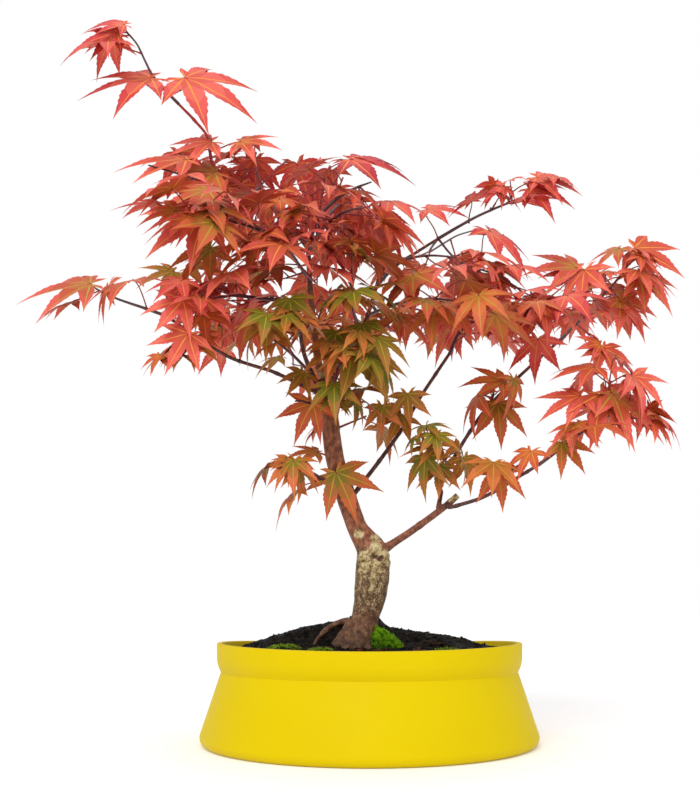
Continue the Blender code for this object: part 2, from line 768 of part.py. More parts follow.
class Spaces:
    """The space of each mass: what lies nearer to its leading shoot than to another's."""

    def __init__(self, twigs_of_masses):
        starts = []
        runs = []
        owners = []
        for owner, twigs in enumerate(twigs_of_masses):
            for twig in twigs:
                for start, end in zip(twig.points, twig.points[1:]):
                    starts.append(start)
                    runs.append(end - start)
                    owners.append(owner)
        self.starts = numpy.array([tuple(start) for start in starts])
        self.runs = numpy.array([tuple(run) for run in runs])
        self.owners = numpy.array(owners)

    def holds(self, owner, points):
        """Whether all points lie in the owner's space, or just over its edge."""
        places = numpy.array([tuple(point) for point in points])[:, None, :]
        offsets = places - self.starts
        shares = (offsets * self.runs).sum(2) / (self.runs ** 2).sum(1)
        offsets -= self.runs * numpy.clip(shares, 0.0, 1.0)[:, :, None]
        distances = numpy.sqrt((offsets ** 2).sum(2))
        own = distances[:, self.owners == owner].min(1)
        other = distances[:, self.owners != owner].min(1)
        return bool((own < other + SPACE_SHARED).all())


def blade_form(leaf, grow=0.0):
    """A leaf's blade: a two-ringed sphere with its rim drawn out to the lobes."""
    ring = leaf.outline(grow)
    palm = leaf.joint + LEAF_PALM * leaf.size * leaf.heading
    half = 0.5 * LEAF_THICKNESS * leaf.size + grow
    work = bmesh.new()
    bmesh.ops.create_uvsphere(work, u_segments=len(ring), v_segments=2, radius=1.0)
    for vertex in work.verts:
        if abs(vertex.co.z) > 0.5:
            place = palm + leaf.normal * math.copysign(half, vertex.co.z)
        else:
            angle = math.atan2(vertex.co.y, vertex.co.x)
            place = ring[round(angle / (2 * math.pi) * len(ring)) % len(ring)]
        vertex.co = place * MM
    return work


def rod_form(start, end, start_radius, end_radius, grow=0.0):
    """A straight three-sided rod; a grown one leaves out its root, which is sunk in."""
    if grow:
        start = start.lerp(end, ROD_ROOT_SHARE)
    turn = (end - start).to_track_quat("Z", "Y").to_matrix().to_4x4()
    work = bmesh.new()
    bmesh.ops.create_cone(
        work, cap_ends=True, cap_tris=True, segments=ROD_SIDES,
        radius1=(start_radius + grow) * MM, radius2=(end_radius + grow) * MM,
        depth=(end - start).length * MM,
        matrix=Matrix.Translation((start + end) / 2 * MM) @ turn,
    )
    return work


def stalk_form(leaf, grow=0.0):
    """A leaf's stalk, from inside its twig to a point inside the blade's palm."""
    end = leaf.joint + STALK_SINK * leaf.size * leaf.heading
    return rod_form(leaf.root, end, STALK_RADIUS, STALK_TIP_RADIUS, grow)


def side_shoot_form(twig, grow=0.0):
    """A side shoot, from inside the leading shoot to its tip."""
    return rod_form(*twig.points, *twig.radii, grow)


def form_to_mesh(name, work):
    """A mesh from a worked form, which is let go."""
    mesh = bpy.data.meshes.new(name)
    work.to_mesh(mesh)
    work.free()
    return mesh


class Room:
    """All that is already placed, by owner, so that what grows later keeps clear of it."""

    def __init__(self):
        self.vertices = []
        self.faces = []
        self.owners = []

    def add(self, owner, mesh):
        """Take up the room of a mesh, which is let go."""
        first = len(self.vertices)
        self.vertices.extend(vertex.co.copy() for vertex in mesh.vertices)
        for face in mesh.polygons:
            self.faces.append([first + index for index in face.vertices])
            self.owners.append(owner)
        bpy.data.meshes.remove(mesh)

    def tree(self, owner):
        """A tree of every face but the owner's."""
        faces = [face for face, other in zip(self.faces, self.owners) if other != owner]
        return BVHTree.FromPolygons(self.vertices, faces)


def form_tree(work):
    """The tree of faces of a worked form, which is let go."""
    tree = BVHTree.FromBMesh(work)
    work.free()
    return tree


def keep_twigs(owner, twigs, spaces, tree):
    """The leading shoot, and the side shoots that stay in its space and touch nothing."""
    for twig in twigs[1:]:
        clear = not form_tree(side_shoot_form(twig, GAP)).overlap(tree)
        twig.kept = clear and spaces.holds(owner, twig.points)
    return [twig for twig in twigs if twig.kept]


def keep_leaves(owner, twigs, leaves, spaces, tree):
    """The leaves that start in their space and touch no limb, twig or other leaf."""
    kept = []
    shoots = [form_tree(side_shoot_form(twig)) for twig in twigs[1:]]
    blades = []
    stalks = []
    for leaf in leaves:
        if not leaf.twig.kept or not spaces.holds(owner, [leaf.joint]):
            continue
        blade = form_tree(blade_form(leaf, GAP))
        stalk = form_tree(stalk_form(leaf, GAP))
        near_blade = [tree, *shoots, *blades, *stalks]
        near_stalk = [tree, *blades]
        if any(blade.overlap(other) for other in near_blade):
            continue
        if any(stalk.overlap(other) for other in near_stalk):
            continue
        kept.append(leaf)
        blades.append(blade)
        stalks.append(stalk)
    return kept


def keep_largest_shell(mesh):
    """Fill sealed hollows and drop loose scraps: only the largest closed shell stays."""
    work = bmesh.new()
    work.from_mesh(mesh)
    bmesh.ops.triangulate(work, faces=work.faces)
    unseen = set(work.verts)
    shells = []
    while unseen:
        shell = set()
        edge = [unseen.pop()]
        while edge:
            vertex = edge.pop()
            shell.add(vertex)
            for link in vertex.link_edges:
                other = link.other_vert(vertex)
                if other in unseen:
                    unseen.remove(other)
                    edge.append(other)
        shells.append(shell)
    shells.sort(key=len)
    for shell in shells[:-1]:
        bmesh.ops.delete(work, geom=list(shell), context="VERTS")
    work.to_mesh(mesh)
    work.free()


def make_mass(mass, twigs, leaves, collection, material):
    """A mass of leaves: its twigs, stalks and blades joined by one Boolean union."""
    parts = make_collection(mass.name + " pieces")
    for index, twig in enumerate(twigs[1:]):
        link_mesh(f"twig {index}", form_to_mesh("twig", side_shoot_form(twig)), parts)
    for index, leaf in enumerate(leaves):
        link_mesh(f"stalk {index}", form_to_mesh("stalk", stalk_form(leaf)), parts)
        link_mesh(f"blade {index}", form_to_mesh("blade", blade_form(leaf)), parts)
    stem = link_mesh("stem", tube_mesh("stem", twigs[0].points, twigs[0].radii, 0), collection)
    union = stem.modifiers.new("Join", "BOOLEAN")
    union.operation = "UNION"
    union.solver = "EXACT"
    union.operand_type = "COLLECTION"
    union.collection = parts
    mesh = evaluated_mesh(stem)
    keep_largest_shell(mesh)
    mesh.name = mass.name
    for piece in list(parts.objects):
        bpy.data.objects.remove(piece)
    bpy.data.collections.remove(parts)
    bpy.data.objects.remove(stem)
    return link_mesh(mass.name, mesh, collection, material)


def plan_crown(limbs):
    """Each mass with the twigs and the leaves that keep to its own space."""
    room = Room()
    for name, limb in limbs.items():
        room.add(name, tube_mesh(name, limb.points, limb.radii, LIMB_FINENESS, LIMB_CLEARANCE))
    plans = []
    for mass in MASSES:
        parent = limbs[mass.parent]
        radius = stem_radius(mass, parent)
        path = branch_path(parent, mass.on_tip, mass.points, radius, TWIG_STEPS)
        twigs, leaves = plan_mass(mass, path, radius)
        plans.append((mass, twigs, leaves))
        room.add(mass.name, tube_mesh(mass.name, path, twigs[0].radii, 0, LIMB_CLEARANCE))
    spaces = Spaces([twigs[:1] for _, twigs, _ in plans])
    crown = []
    for owner, (mass, twigs, leaves) in enumerate(plans):
        tree = room.tree(mass.name)
        twigs = keep_twigs(owner, twigs, spaces, tree)
        leaves = keep_leaves(owner, twigs, leaves, spaces, tree)
        crown.append((mass, twigs, leaves))
        for twig in twigs[1:]:
            room.add(mass.name, form_to_mesh("twig", side_shoot_form(twig)))
        for leaf in leaves:
            room.add(mass.name, form_to_mesh("stalk", stalk_form(leaf)))
            room.add(mass.name, form_to_mesh("blade", blade_form(leaf)))
    return crown


def stem_radius(mass, parent):
    """A stem goes on from a bough's tip at its width, and leaves a side thinner."""
    if mass.on_tip:
        return parent.radii[-1]
    return min(STEM_RADIUS_MAX, STEM_SHARE * parent.radii[-1])


# The whole plant ----------------------------------------------------------------------


def main():
    """Build the pot, the soil and the plant."""
    clear_scene()
    bonsai = make_collection("japanese_maple_bonsai")
    cutters = make_collection("cutters")

    trunk = trunk_line()
    root = surface_root_line()
    pocket = [
        link_mesh("trunk pocket", trunk_mesh("trunk pocket", trunk, POCKET_CLEARANCE), cutters),
        link_mesh("root pocket",
                  tube_mesh("root pocket", root.points, root.radii, 1, POCKET_CLEARANCE), cutters),
    ]
    make_pot(bonsai, make_material("pot", POT_YELLOW, 0.45))
    make_soil(bonsai, make_material("soil", SOIL_BLACK, 0.95), pocket)
    for name, x, y, radius, height in MOSS_PADS:
        moss = make_material(name, MOSS_GREEN, 0.95)
        make_moss(name, (x, y), radius, height, bonsai, moss, pocket)

    bark = make_material("trunk", BARK_BROWN, 0.85)
    body = link_mesh("trunk", trunk_mesh("trunk", trunk, 0.0), bonsai, bark)
    arm = link_mesh("surface root", tube_mesh("root", root.points, root.radii, 1), cutters)
    hide_cutter(arm)
    join = body.modifiers.new("Root", "BOOLEAN")
    join.operation = "UNION"
    join.solver = "EXACT"
    join.object = arm

    limbs = grow_limbs(trunk)
    for plan in LIMBS:
        limb = limbs[plan.name]
        mesh = tube_mesh(plan.name, limb.points, limb.radii, LIMB_FINENESS)
        mesh.shade_smooth()
        link_mesh(plan.name, mesh, bonsai, make_material(plan.name, SHOOT_BROWN, 0.6))

    for mass, twigs, leaves in plan_crown(limbs):
        colour = LEAF_RUST if mass.hang > RUST_HANG else LEAF_RED
        make_mass(mass, twigs, leaves, bonsai, make_material(mass.name, colour, 0.5))


if __name__ == "__main__":
    main()
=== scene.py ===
"""Looks of a Japanese maple bonsai in a round yellow pot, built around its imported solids.

The plans below are in millimetres, in the frame of the solids: the origin is the middle of
the pot's flat underside, +Z is up and +Y is the back.  The crown grows from the trunk and
the boughs by the seeded rule that its solids grew by, and is carried on to finer twigs.
"""
import json
import logging
import math
import random
from dataclasses import dataclass, field
from enum import Enum
from typing import Iterable, Sequence

import bpy
import numpy as np
from mathutils import Matrix, Vector, noise
from mathutils.bvhtree import BVHTree
from mathutils.kdtree import KDTree

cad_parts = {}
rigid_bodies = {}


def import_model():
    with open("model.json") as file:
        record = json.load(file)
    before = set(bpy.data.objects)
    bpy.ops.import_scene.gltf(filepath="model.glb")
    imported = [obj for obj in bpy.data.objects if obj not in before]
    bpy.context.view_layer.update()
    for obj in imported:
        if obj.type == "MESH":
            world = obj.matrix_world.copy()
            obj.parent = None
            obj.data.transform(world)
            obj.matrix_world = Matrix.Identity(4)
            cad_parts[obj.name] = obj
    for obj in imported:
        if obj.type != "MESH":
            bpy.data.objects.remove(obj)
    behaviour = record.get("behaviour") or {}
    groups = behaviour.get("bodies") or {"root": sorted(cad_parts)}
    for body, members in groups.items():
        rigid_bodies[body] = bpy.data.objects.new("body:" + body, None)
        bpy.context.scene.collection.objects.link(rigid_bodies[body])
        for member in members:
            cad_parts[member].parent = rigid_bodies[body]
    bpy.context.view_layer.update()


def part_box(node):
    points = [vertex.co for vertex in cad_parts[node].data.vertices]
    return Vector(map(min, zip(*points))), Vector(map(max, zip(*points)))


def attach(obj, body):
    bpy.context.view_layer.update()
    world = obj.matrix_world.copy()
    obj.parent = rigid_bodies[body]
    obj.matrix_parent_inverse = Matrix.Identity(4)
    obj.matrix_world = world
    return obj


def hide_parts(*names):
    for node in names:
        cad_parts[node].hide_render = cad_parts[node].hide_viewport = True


LOG = logging.getLogger("maple")
MM = 0.001
UP = Vector((0.0, 0.0, 1.0))
ASKEW = (0.31, 0.52, 0.79)
GAP = 0.3
SPAN_STEPS = 6

Pair = tuple[float, float]
Triple = tuple[float, float, float]
Stops = tuple[tuple[float, Triple], ...]
Spots = tuple[tuple[Triple, float], ...]
Swells = tuple[tuple[Triple, Triple], ...]
Line = Sequence[Vector]
Material = bpy.types.Material
Piece = bpy.types.Object
Socket = bpy.types.NodeSocket


def srgb(red: int, green: int, blue: int) -> Triple:
    """A display colour from 0 to 255 as linear red, green and blue."""
    return tuple((value / 255.0) ** 2.2 for value in (red, green, blue))


# Finishes


class Recipe:
    """The node tree of one material, with short ways to add the nodes that finishes share."""

    def __init__(self, name: str, roughness: float, gloss: float = 0.5) -> None:
        """Start a non-metallic Principled material.

        Args:
            name: The material's name.
            roughness: The roughness of its surface where no node drives it.
            gloss: The level of its specular light.
        """
        self.material = bpy.data.materials.new(name)
        self.material.use_nodes = True
        self.tree = self.material.node_tree
        self.shader = self.tree.nodes["Principled BSDF"]
        self.place = self.node("ShaderNodeTexCoord").outputs["Object"]
        self.give("Roughness", roughness)
        self.give("Specular IOR Level", gloss)

    def fill(self, socket: Socket, value: Socket | Triple | float) -> None:
        """Drive an input by another socket, or set it to a value."""
        if isinstance(value, Socket):
            self.tree.links.new(value, socket)
        else:
            socket.default_value = (*value, 1.0) if socket.type == "RGBA" else value

    def give(self, name: str, value: Socket | Triple | float) -> None:
        """Fill one of the shader's own inputs."""
        self.fill(self.shader.inputs[name], value)

    def node(self, kind: str, **inputs: Socket | Triple | float) -> bpy.types.Node:
        """Add a node of a kind, and fill its inputs by name."""
        node = self.tree.nodes.new(kind)
        for name, value in inputs.items():
            self.fill(node.inputs[name], value)
        return node

    def stretch(self, scale: Triple) -> Socket:
        """Object coordinates stretched by a factor along each axis."""
        return self.node("ShaderNodeMapping", Vector=self.place, Scale=scale).outputs["Vector"]

    def noise(self, scale: float, detail: float, place: Socket | None = None) -> Socket:
        """Cloudy noise: its clouds in each metre, its octaves and its coordinates."""
        return self.node("ShaderNodeTexNoise", Scale=scale, Detail=detail,
                         Vector=place or self.place).outputs["Fac"]

    def ramp(self, value: Socket, stops: Stops) -> Socket:
        """A colour for each value.

        Args:
            value: What the ramp reads.
            stops: Each stop's position and its linear colour.

        Returns:
            The ramp's colour.
        """
        node = self.node("ShaderNodeValToRGB", Fac=value)
        elements = node.color_ramp.elements
        elements.remove(elements[1])
        elements[0].position = stops[0][0]
        elements[0].color = (*stops[0][1], 1.0)
        for position, colour in stops[1:]:
            elements.new(position).color = (*colour, 1.0)
        return node.outputs["Color"]

    def levels(self, value: Socket, source: Pair, target: Pair) -> Socket:
        """A value moved from one range to another, and kept inside it."""
        node = self.node("ShaderNodeMapRange", Value=value)
        for index, edge in enumerate((*source, *target)):
            node.inputs[index + 1].default_value = edge
        return node.outputs["Result"]

    def height(self, edges: Pair) -> Socket:
        """0 below the first height and 1 above the second, in metres."""
        split = self.node("ShaderNodeSeparateXYZ", Vector=self.place)
        return self.levels(split.outputs["Z"], edges, (0.0, 1.0))

    def attribute(self, name: str) -> list[Socket]:
        """The three channels of a colour attribute of the mesh."""
        node = self.node("ShaderNodeAttribute")
        node.attribute_name = name
        split = self.node("ShaderNodeSeparateColor", Color=node.outputs["Color"])
        return [split.outputs[channel] for channel in ("Red", "Green", "Blue")]

    def blend(self, share: Socket, low: Socket | Triple, high: Socket | Triple) -> Socket:
        """Two colours mixed by a share.

        Args:
            share: 0 for the low colour, 1 for the high one.
            low: A colour or a socket that gives one.
            high: A colour or a socket that gives one.

        Returns:
            The mixed colour.
        """
        node = self.node("ShaderNodeMix")
        node.data_type = "RGBA"
        self.fill(node.inputs["Factor"], share)
        sides = [socket for socket in node.inputs if socket.type == "RGBA"]
        for socket, side in zip(sides, (low, high)):
            self.fill(socket, side)
        return [socket for socket in node.outputs if socket.type == "RGBA"][0]

    def average(self, first: Socket, second: Socket, share: float) -> Socket:
        """The first value mixed with a share of the second."""
        return self.node("ShaderNodeMix", Factor=share, A=first, B=second).outputs["Result"]

    def mottle(self, scale: float, detail: float, *stops: tuple[float, Triple]) -> None:
        """Paint the surface in clouds, by a ramp over noise."""
        self.give("Base Color", self.ramp(self.noise(scale, detail), stops))

    def emboss(self, height: Socket, strength: float, depth: float) -> None:
        """Raise the surface by a height from 0 to 1, whose depth is in millimetres."""
        bump = self.node("ShaderNodeBump", Strength=strength, Distance=depth * MM,
                         Height=height)
        self.give("Normal", bump.outputs["Normal"])


class Tint(Enum):
    """The colours that a leaf turns through in autumn, from green to fully turned."""

    GREEN = srgb(108, 112, 34)
    OLIVE = srgb(128, 110, 38)
    BRONZE = srgb(150, 102, 44)
    AMBER = srgb(174, 102, 48)
    ORANGE = srgb(200, 106, 58)
    RUST = srgb(190, 84, 56)
    VERMILION = srgb(202, 80, 64)
    CORAL = srgb(222, 100, 88)
    SCARLET = srgb(208, 74, 72)
    CRIMSON = srgb(184, 58, 66)
    GARNET = srgb(146, 40, 46)


class Vein(Enum):
    """The colours of a leaf's veins: those of a green leaf, and those of a turned one."""

    MOSS_GOLD = srgb(176, 150, 50)
    GOLD = srgb(230, 142, 62)


SHADES = 3


def autumn() -> list[Triple]:
    """The tints with evenly spaced shades between them."""
    tints = np.array([tint.value for tint in Tint])
    marks = np.arange(SHADES * (len(tints) - 1) + 1) / SHADES
    columns = [np.interp(marks, range(len(tints)), tints[:, channel]) for channel in range(3)]
    return [tuple(float(value) for value in shade) for shade in zip(*columns)]


@dataclass(frozen=True)
class LeafFinish:
    """A thin leaf: one shade of its spray, with a soft gloss."""

    name: str
    colour: Triple
    roughness: float = 0.5
    gloss: float = 0.22
    coat: float = 0.0

    def material(self) -> Material:
        """The finish as a material."""
        recipe = Recipe(self.name, self.roughness, self.gloss)
        recipe.give("Base Color", self.colour)
        recipe.give("Coat Weight", self.coat)
        return recipe.material


@dataclass(frozen=True)
class ShootFinish(LeafFinish):
    """Smooth young bark, a leaf's stalk or a bud, in one colour of its kind."""

    roughness: float = 0.42
    gloss: float = 0.5
    coat: float = 0.1


@dataclass(frozen=True)
class BarkFinish:
    """Bark in three zones: mottled at the foot, red-brown above, and pale at its scars;
    painted shade darkens it towards the soil.
    """

    foot_dark: Triple = srgb(52, 34, 20)
    foot_mid: Triple = srgb(102, 76, 50)
    foot_pale: Triple = srgb(176, 150, 110)
    upper_dark: Triple = srgb(104, 60, 42)
    upper_light: Triple = srgb(154, 96, 68)
    upper_speck: Triple = srgb(180, 130, 98)
    # Painted shade: the colours that take over low on the trunk, towards the soil.
    foot_shade_dark: Triple = srgb(44, 30, 18)
    foot_shade_light: Triple = srgb(98, 68, 46)
    shoot_dark: Triple = srgb(62, 38, 38)
    shoot_light: Triple = srgb(112, 70, 62)
    shoot_red: Triple = srgb(168, 58, 48)
    scar_dark: Triple = srgb(92, 72, 38)
    scar_mid: Triple = srgb(158, 134, 88)
    scar_pale: Triple = srgb(204, 188, 142)
    red_from: Pair = (0.285, 0.315)
    # Heights in metres over which the painted shade near the soil fades out.
    foot_shade_from: Pair = (0.054, 0.078)

    def material(self) -> Material:
        """The finish as a material, mixed by the mesh's zones."""
        recipe = Recipe("bark", 0.85)
        scar, upper, shoot = recipe.attribute(Bark.ZONES)
        patches = recipe.noise(330.0, 5.0)
        specks = recipe.noise(1300.0, 3.0, recipe.stretch((1.0, 1.0, 0.8)))
        foot = recipe.ramp(recipe.average(patches, specks, 0.55),
                           ((0.40, self.foot_dark), (0.46, self.foot_mid),
                            (0.52, self.foot_mid), (0.58, self.foot_pale)))
        streaks = recipe.noise(700.0, 4.0, recipe.stretch((1.0, 1.0, 0.25)))
        stem = recipe.ramp(recipe.average(streaks, patches, 0.5),
                           ((0.40, self.upper_dark), (0.57, self.upper_light),
                            (0.66, self.upper_speck)))
        young = recipe.ramp(streaks, ((0.36, self.shoot_dark), (0.66, self.shoot_light)))
        young = recipe.blend(recipe.height(self.red_from), young, self.shoot_red)
        # Painted shade: a darker bark low on the trunk, blended in by height.
        damp_and_shade = recipe.ramp(recipe.average(patches, specks, 0.4),
                           ((0.42, self.foot_shade_dark), (0.58, self.foot_shade_light)))
        pale = recipe.ramp(recipe.average(patches, specks, 0.35),
                           ((0.38, self.scar_dark), (0.47, self.scar_mid),
                            (0.58, self.scar_pale)))
        colour = recipe.blend(upper, foot, stem)
        colour = recipe.blend(recipe.height(self.foot_shade_from), damp_and_shade, colour)
        colour = recipe.blend(shoot, colour, young)
        recipe.give("Base Color", recipe.blend(scar, colour, pale))
        recipe.give("Roughness", recipe.levels(specks, (0.3, 0.7), (0.66, 0.9)))
        recipe.emboss(recipe.average(specks, streaks, 0.4), 0.6, 0.5)
        return recipe.material


@dataclass(frozen=True)
class PotFinish:
    """Moulded matte plastic: even yellow and a fine grain."""

    yellow: Triple = srgb(212, 186, 0)
    deep: Triple = srgb(208, 181, 0)

    def material(self) -> Material:
        """The finish as a material."""
        recipe = Recipe("pot plastic", 0.5, 0.06)
        recipe.mottle(9.0, 3.0, (0.35, self.deep), (0.62, self.yellow))
        grain = recipe.noise(60.0, 5.0)
        recipe.give("Roughness", recipe.levels(grain, (0.3, 0.7), (0.42, 0.56)))
        recipe.emboss(recipe.noise(2400.0, 2.0), 0.12, 0.06)
        return recipe.material


@dataclass(frozen=True)
class EarthFinish:
    """Damp crumbly soil, or the bits of root and husk that lie on it."""

    name: str
    dark: Triple
    light: Triple
    gloss: Pair = (0.62, 0.95)

    def material(self) -> Material:
        """The finish as a material."""
        recipe = Recipe(self.name, 0.9, 0.12)
        recipe.mottle(520.0, 6.0, (0.46, self.dark), (0.68, self.light))
        damp_and_shade = recipe.noise(160.0, 2.0)
        recipe.give("Roughness", recipe.levels(damp_and_shade, (0.4, 0.6), self.gloss))
        recipe.emboss(recipe.noise(1500.0, 5.0), 0.7, 0.4)
        return recipe.material


@dataclass(frozen=True)
class MossFinish:
    """Moss: bright at its tips, dark down among its stems, where the cushions' darker greens
    are painted shade.
    """

    name: str
    deep: Triple
    bright: Triple

    def material(self) -> Material:
        """The finish as a material."""
        recipe = Recipe(self.name, 0.75, 0.12)
        recipe.mottle(420.0, 3.0, (0.38, self.deep), (0.62, self.bright))
        recipe.emboss(recipe.noise(2200.0, 2.0), 0.5, 0.2)
        return recipe.material


# Mesh helpers


def deselect() -> None:
    """Leave nothing selected, so that the next operator acts on its own piece alone."""
    if bpy.context.object and bpy.context.object.mode != "OBJECT":
        bpy.ops.object.mode_set(mode="OBJECT")
    bpy.ops.object.select_all(action="DESELECT")


def pick(piece: Piece) -> None:
    """Select one piece alone and make it the active one."""
    deselect()
    piece.select_set(True)
    bpy.context.view_layer.objects.active = piece


def settle(piece: Piece, name: str) -> Piece:
    """Name a piece and put its place, turn and scale into its mesh."""
    pick(piece)
    bpy.ops.object.transform_apply(location=True, rotation=True, scale=True)
    piece.name = name
    piece.data.name = name
    return piece


def finish_with(piece: Piece, kind: str, **settings: object) -> None:
    """Add a modifier to a piece and apply it.

    Args:
        piece: The piece.
        kind: Blender's name for the modifier.
        settings: The modifier's settings by name.
    """
    pick(piece)
    modifier = piece.modifiers.new(kind.title(), kind)
    for key, value in settings.items():
        setattr(modifier, key, value)
    bpy.ops.object.modifier_apply(modifier=modifier.name)


def mesh_points(piece: Piece) -> np.ndarray:
    """Every vertex of a piece, in millimetres."""
    places = np.empty(3 * len(piece.data.vertices))
    piece.data.vertices.foreach_get("co", places)
    return places.reshape(-1, 3) / MM


def set_points(piece: Piece, places: np.ndarray) -> None:
    """Move every vertex of a piece to a place in millimetres."""
    piece.data.vertices.foreach_set("co", (places * MM).ravel())
    piece.data.update()


def cloud(place: Sequence[float], size: float, octaves: int = 3) -> float:
    """Seeded fractal noise at a place in millimetres, between about -1 and 1."""
    return noise.fractal(Vector(place) / size, 1.0, 2.0, octaves)


def turned(name: str, profile: Sequence[Pair], segments: int) -> Piece:
    """A solid turned round Z: a ring drawn out and resized from point to point.

    Args:
        name: The piece's name.
        profile: Radius and height in millimetres, from pole to pole.
        segments: Steps round the axis.

    Returns:
        The closed piece.
    """
    deselect()
    radius, height = profile[0]
    bpy.ops.mesh.primitive_circle_add(vertices=segments, radius=radius * MM, fill_type="NGON",
                                      location=(0.0, 0.0, height * MM))
    piece = bpy.context.object
    settle(piece, name)
    bpy.ops.object.mode_set(mode="EDIT")
    bpy.ops.mesh.select_all(action="SELECT")
    for (before, low), (after, high) in zip(profile, profile[1:]):
        bpy.ops.mesh.extrude_region_move(
            TRANSFORM_OT_translate={"value": (0.0, 0.0, (high - low) * MM)})
        share = after / before
        bpy.ops.transform.resize(value=(share, share, 1.0),
                                 center_override=(0.0, 0.0, high * MM))
    bpy.ops.mesh.select_all(action="SELECT")
    bpy.ops.mesh.normals_make_consistent(inside=False)
    bpy.ops.object.mode_set(mode="OBJECT")
    return piece


def ease(value: float, low: float, high: float) -> float:
    """0 under the low edge, 1 over the high one, and a smooth rise between them."""
    share = min(1.0, max(0.0, (value - low) / (high - low)))
    return share * share * (3.0 - 2.0 * share)


def ball(sides: int, rings: int) -> tuple[np.ndarray, list[tuple[int, ...]]]:
    """A ball of radius 1.

    Args:
        sides: Its points round each ring.
        rings: Its rings between the poles.

    Returns:
        Its points and its faces.
    """
    places = [(0.0, 0.0, 1.0)]
    for tilt in np.linspace(math.pi / 2, -math.pi / 2, rings + 2)[1:-1]:
        for turn in np.linspace(0.0, 2 * math.pi, sides, endpoint=False):
            places.append((math.cos(tilt) * math.cos(turn), math.cos(tilt) * math.sin(turn),
                           math.sin(tilt)))
    places.append((0.0, 0.0, -1.0))
    last = len(places) - 1
    faces: list[tuple[int, ...]] = []
    for side in range(sides):
        other = (side + 1) % sides
        faces.append((0, 1 + side, 1 + other))
        for ring in range(rings - 1):
            first = 1 + ring * sides
            faces.append((first + side, first + sides + side, first + sides + other,
                          first + other))
        faces.append((last, last - sides + other, last - sides + side))
    return np.array(places), faces


BALL = ball(6, 3)
BALL_FINE = ball(18, 10)
CRUMB_EDGES = (0.75, 1.2)
CRUMB_WIDTHS = (0.6, 1.0)
CRUMB_HEIGHTS = (0.5, 0.9)


def lump(rng: random.Random, size: float) -> np.ndarray:
    """The points of a ragged crumb, from a coarse ball."""
    shape = BALL[0] * [[rng.uniform(*CRUMB_EDGES)] for _ in BALL[0]]
    turn = np.array(Matrix.Rotation(rng.uniform(0.0, 6.28), 3, rng_direction(rng)))
    width, height = size * rng.uniform(*CRUMB_WIDTHS), size * rng.uniform(*CRUMB_HEIGHTS)
    return (shape * (size, width, height)) @ turn


def rng_direction(rng: random.Random) -> Vector:
    """A seeded direction."""
    return Vector((rng.gauss(0, 1), rng.gauss(0, 1), rng.gauss(0, 1))).normalized()


class Batch:
    """Many small shapes gathered from arrays and made into one mesh."""

    def __init__(self) -> None:
        """Start with nothing gathered."""
        self.places: list[np.ndarray] = []
        self.faces: list[list[int]] = []
        self.slots: list[int] = []
        self.count = 0

    def add(self, places: np.ndarray, faces: Iterable[Sequence[int]],
            slots: int | Sequence[int] = 0) -> None:
        """Gather one shape.

        Args:
            places: Its points in millimetres.
            faces: Its faces, counted from its own first point.
            slots: The material slot of all its faces, or of each.
        """
        first = len(self.faces)
        self.faces.extend([self.count + index for index in face] for face in faces)
        added = len(self.faces) - first
        self.slots.extend([slots] * added if isinstance(slots, int) else slots)
        self.places.append(places)
        self.count += len(places)

    def tube(self, path: Line, radii: Sequence[float], sides: int, slot: int = 0) -> None:
        """Gather a closed tube.

        Args:
            path: Its middle line in millimetres.
            radii: Its radius at each point of that line.
            sides: Its sides.
            slot: Its material slot.
        """
        line = np.array([tuple(point) for point in path])
        runs = np.gradient(line, axis=0)
        runs /= np.linalg.norm(runs, axis=1)[:, None]
        across = np.cross(runs[0], ASKEW)
        turns = np.linspace(0.0, 2 * math.pi, sides, endpoint=False)
        rings = []
        for middle, along, radius in zip(line, runs, radii):
            across = across - along * across.dot(along)
            across /= np.linalg.norm(across)
            away = np.cross(along, across)
            rings.append(middle + radius * (np.cos(turns)[:, None] * across
                                            + np.sin(turns)[:, None] * away))
        last = (len(line) - 1) * sides
        corners = [(ring + side, ring + (side + 1) % sides)
                   for ring in range(0, last, sides) for side in range(sides)]
        faces = [(low, other, other + sides, low + sides) for low, other in corners]
        ends = [tuple(range(sides))[::-1], tuple(range(last, last + sides))]
        self.add(np.concatenate(rings), faces + ends, slot)

    def piece(self, name: str, materials: Sequence[Material]) -> Piece:
        """Everything gathered, as one smooth piece.

        Args:
            name: Its name.
            materials: The material of each slot.

        Returns:
            The piece.
        """
        mesh = bpy.data.meshes.new(name)
        mesh.from_pydata(np.concatenate(self.places) * MM, [], self.faces)
        for material in materials:
            mesh.materials.append(material)
        mesh.polygons.foreach_set("material_index", self.slots)
        mesh.polygons.foreach_set("use_smooth", [True] * len(self.faces))
        mesh.update()
        piece = bpy.data.objects.new(name, mesh)
        bpy.context.scene.collection.objects.link(piece)
        return piece


def place_piece(piece: Piece, *nodes: str) -> None:
    """Let a piece ride with the plant and stand for the solids named."""
    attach(piece, "root")
    if nodes:
        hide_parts(*nodes)
    LOG.info("%s: %d faces, for %s", piece.name, len(piece.data.polygons),
             ", ".join(nodes) or "no solid")


def face_tree(pieces: Iterable[Piece]) -> BVHTree:
    """A tree of every face of the pieces, in millimetres."""
    places: list[Vector] = []
    faces: list[list[int]] = []
    for piece in pieces:
        first = len(places)
        places.extend(vertex.co / MM for vertex in piece.data.vertices)
        faces.extend([first + corner for corner in face.vertices]
                     for face in piece.data.polygons)
    return BVHTree.FromPolygons(places, faces)


# How the plant grows


@dataclass(frozen=True)
class LimbPlan:
    """A bough: what carries it, the points it runs through, and its two radii."""

    name: str
    parent: str
    on_tip: bool
    points: tuple[Triple, ...]
    radii: Pair


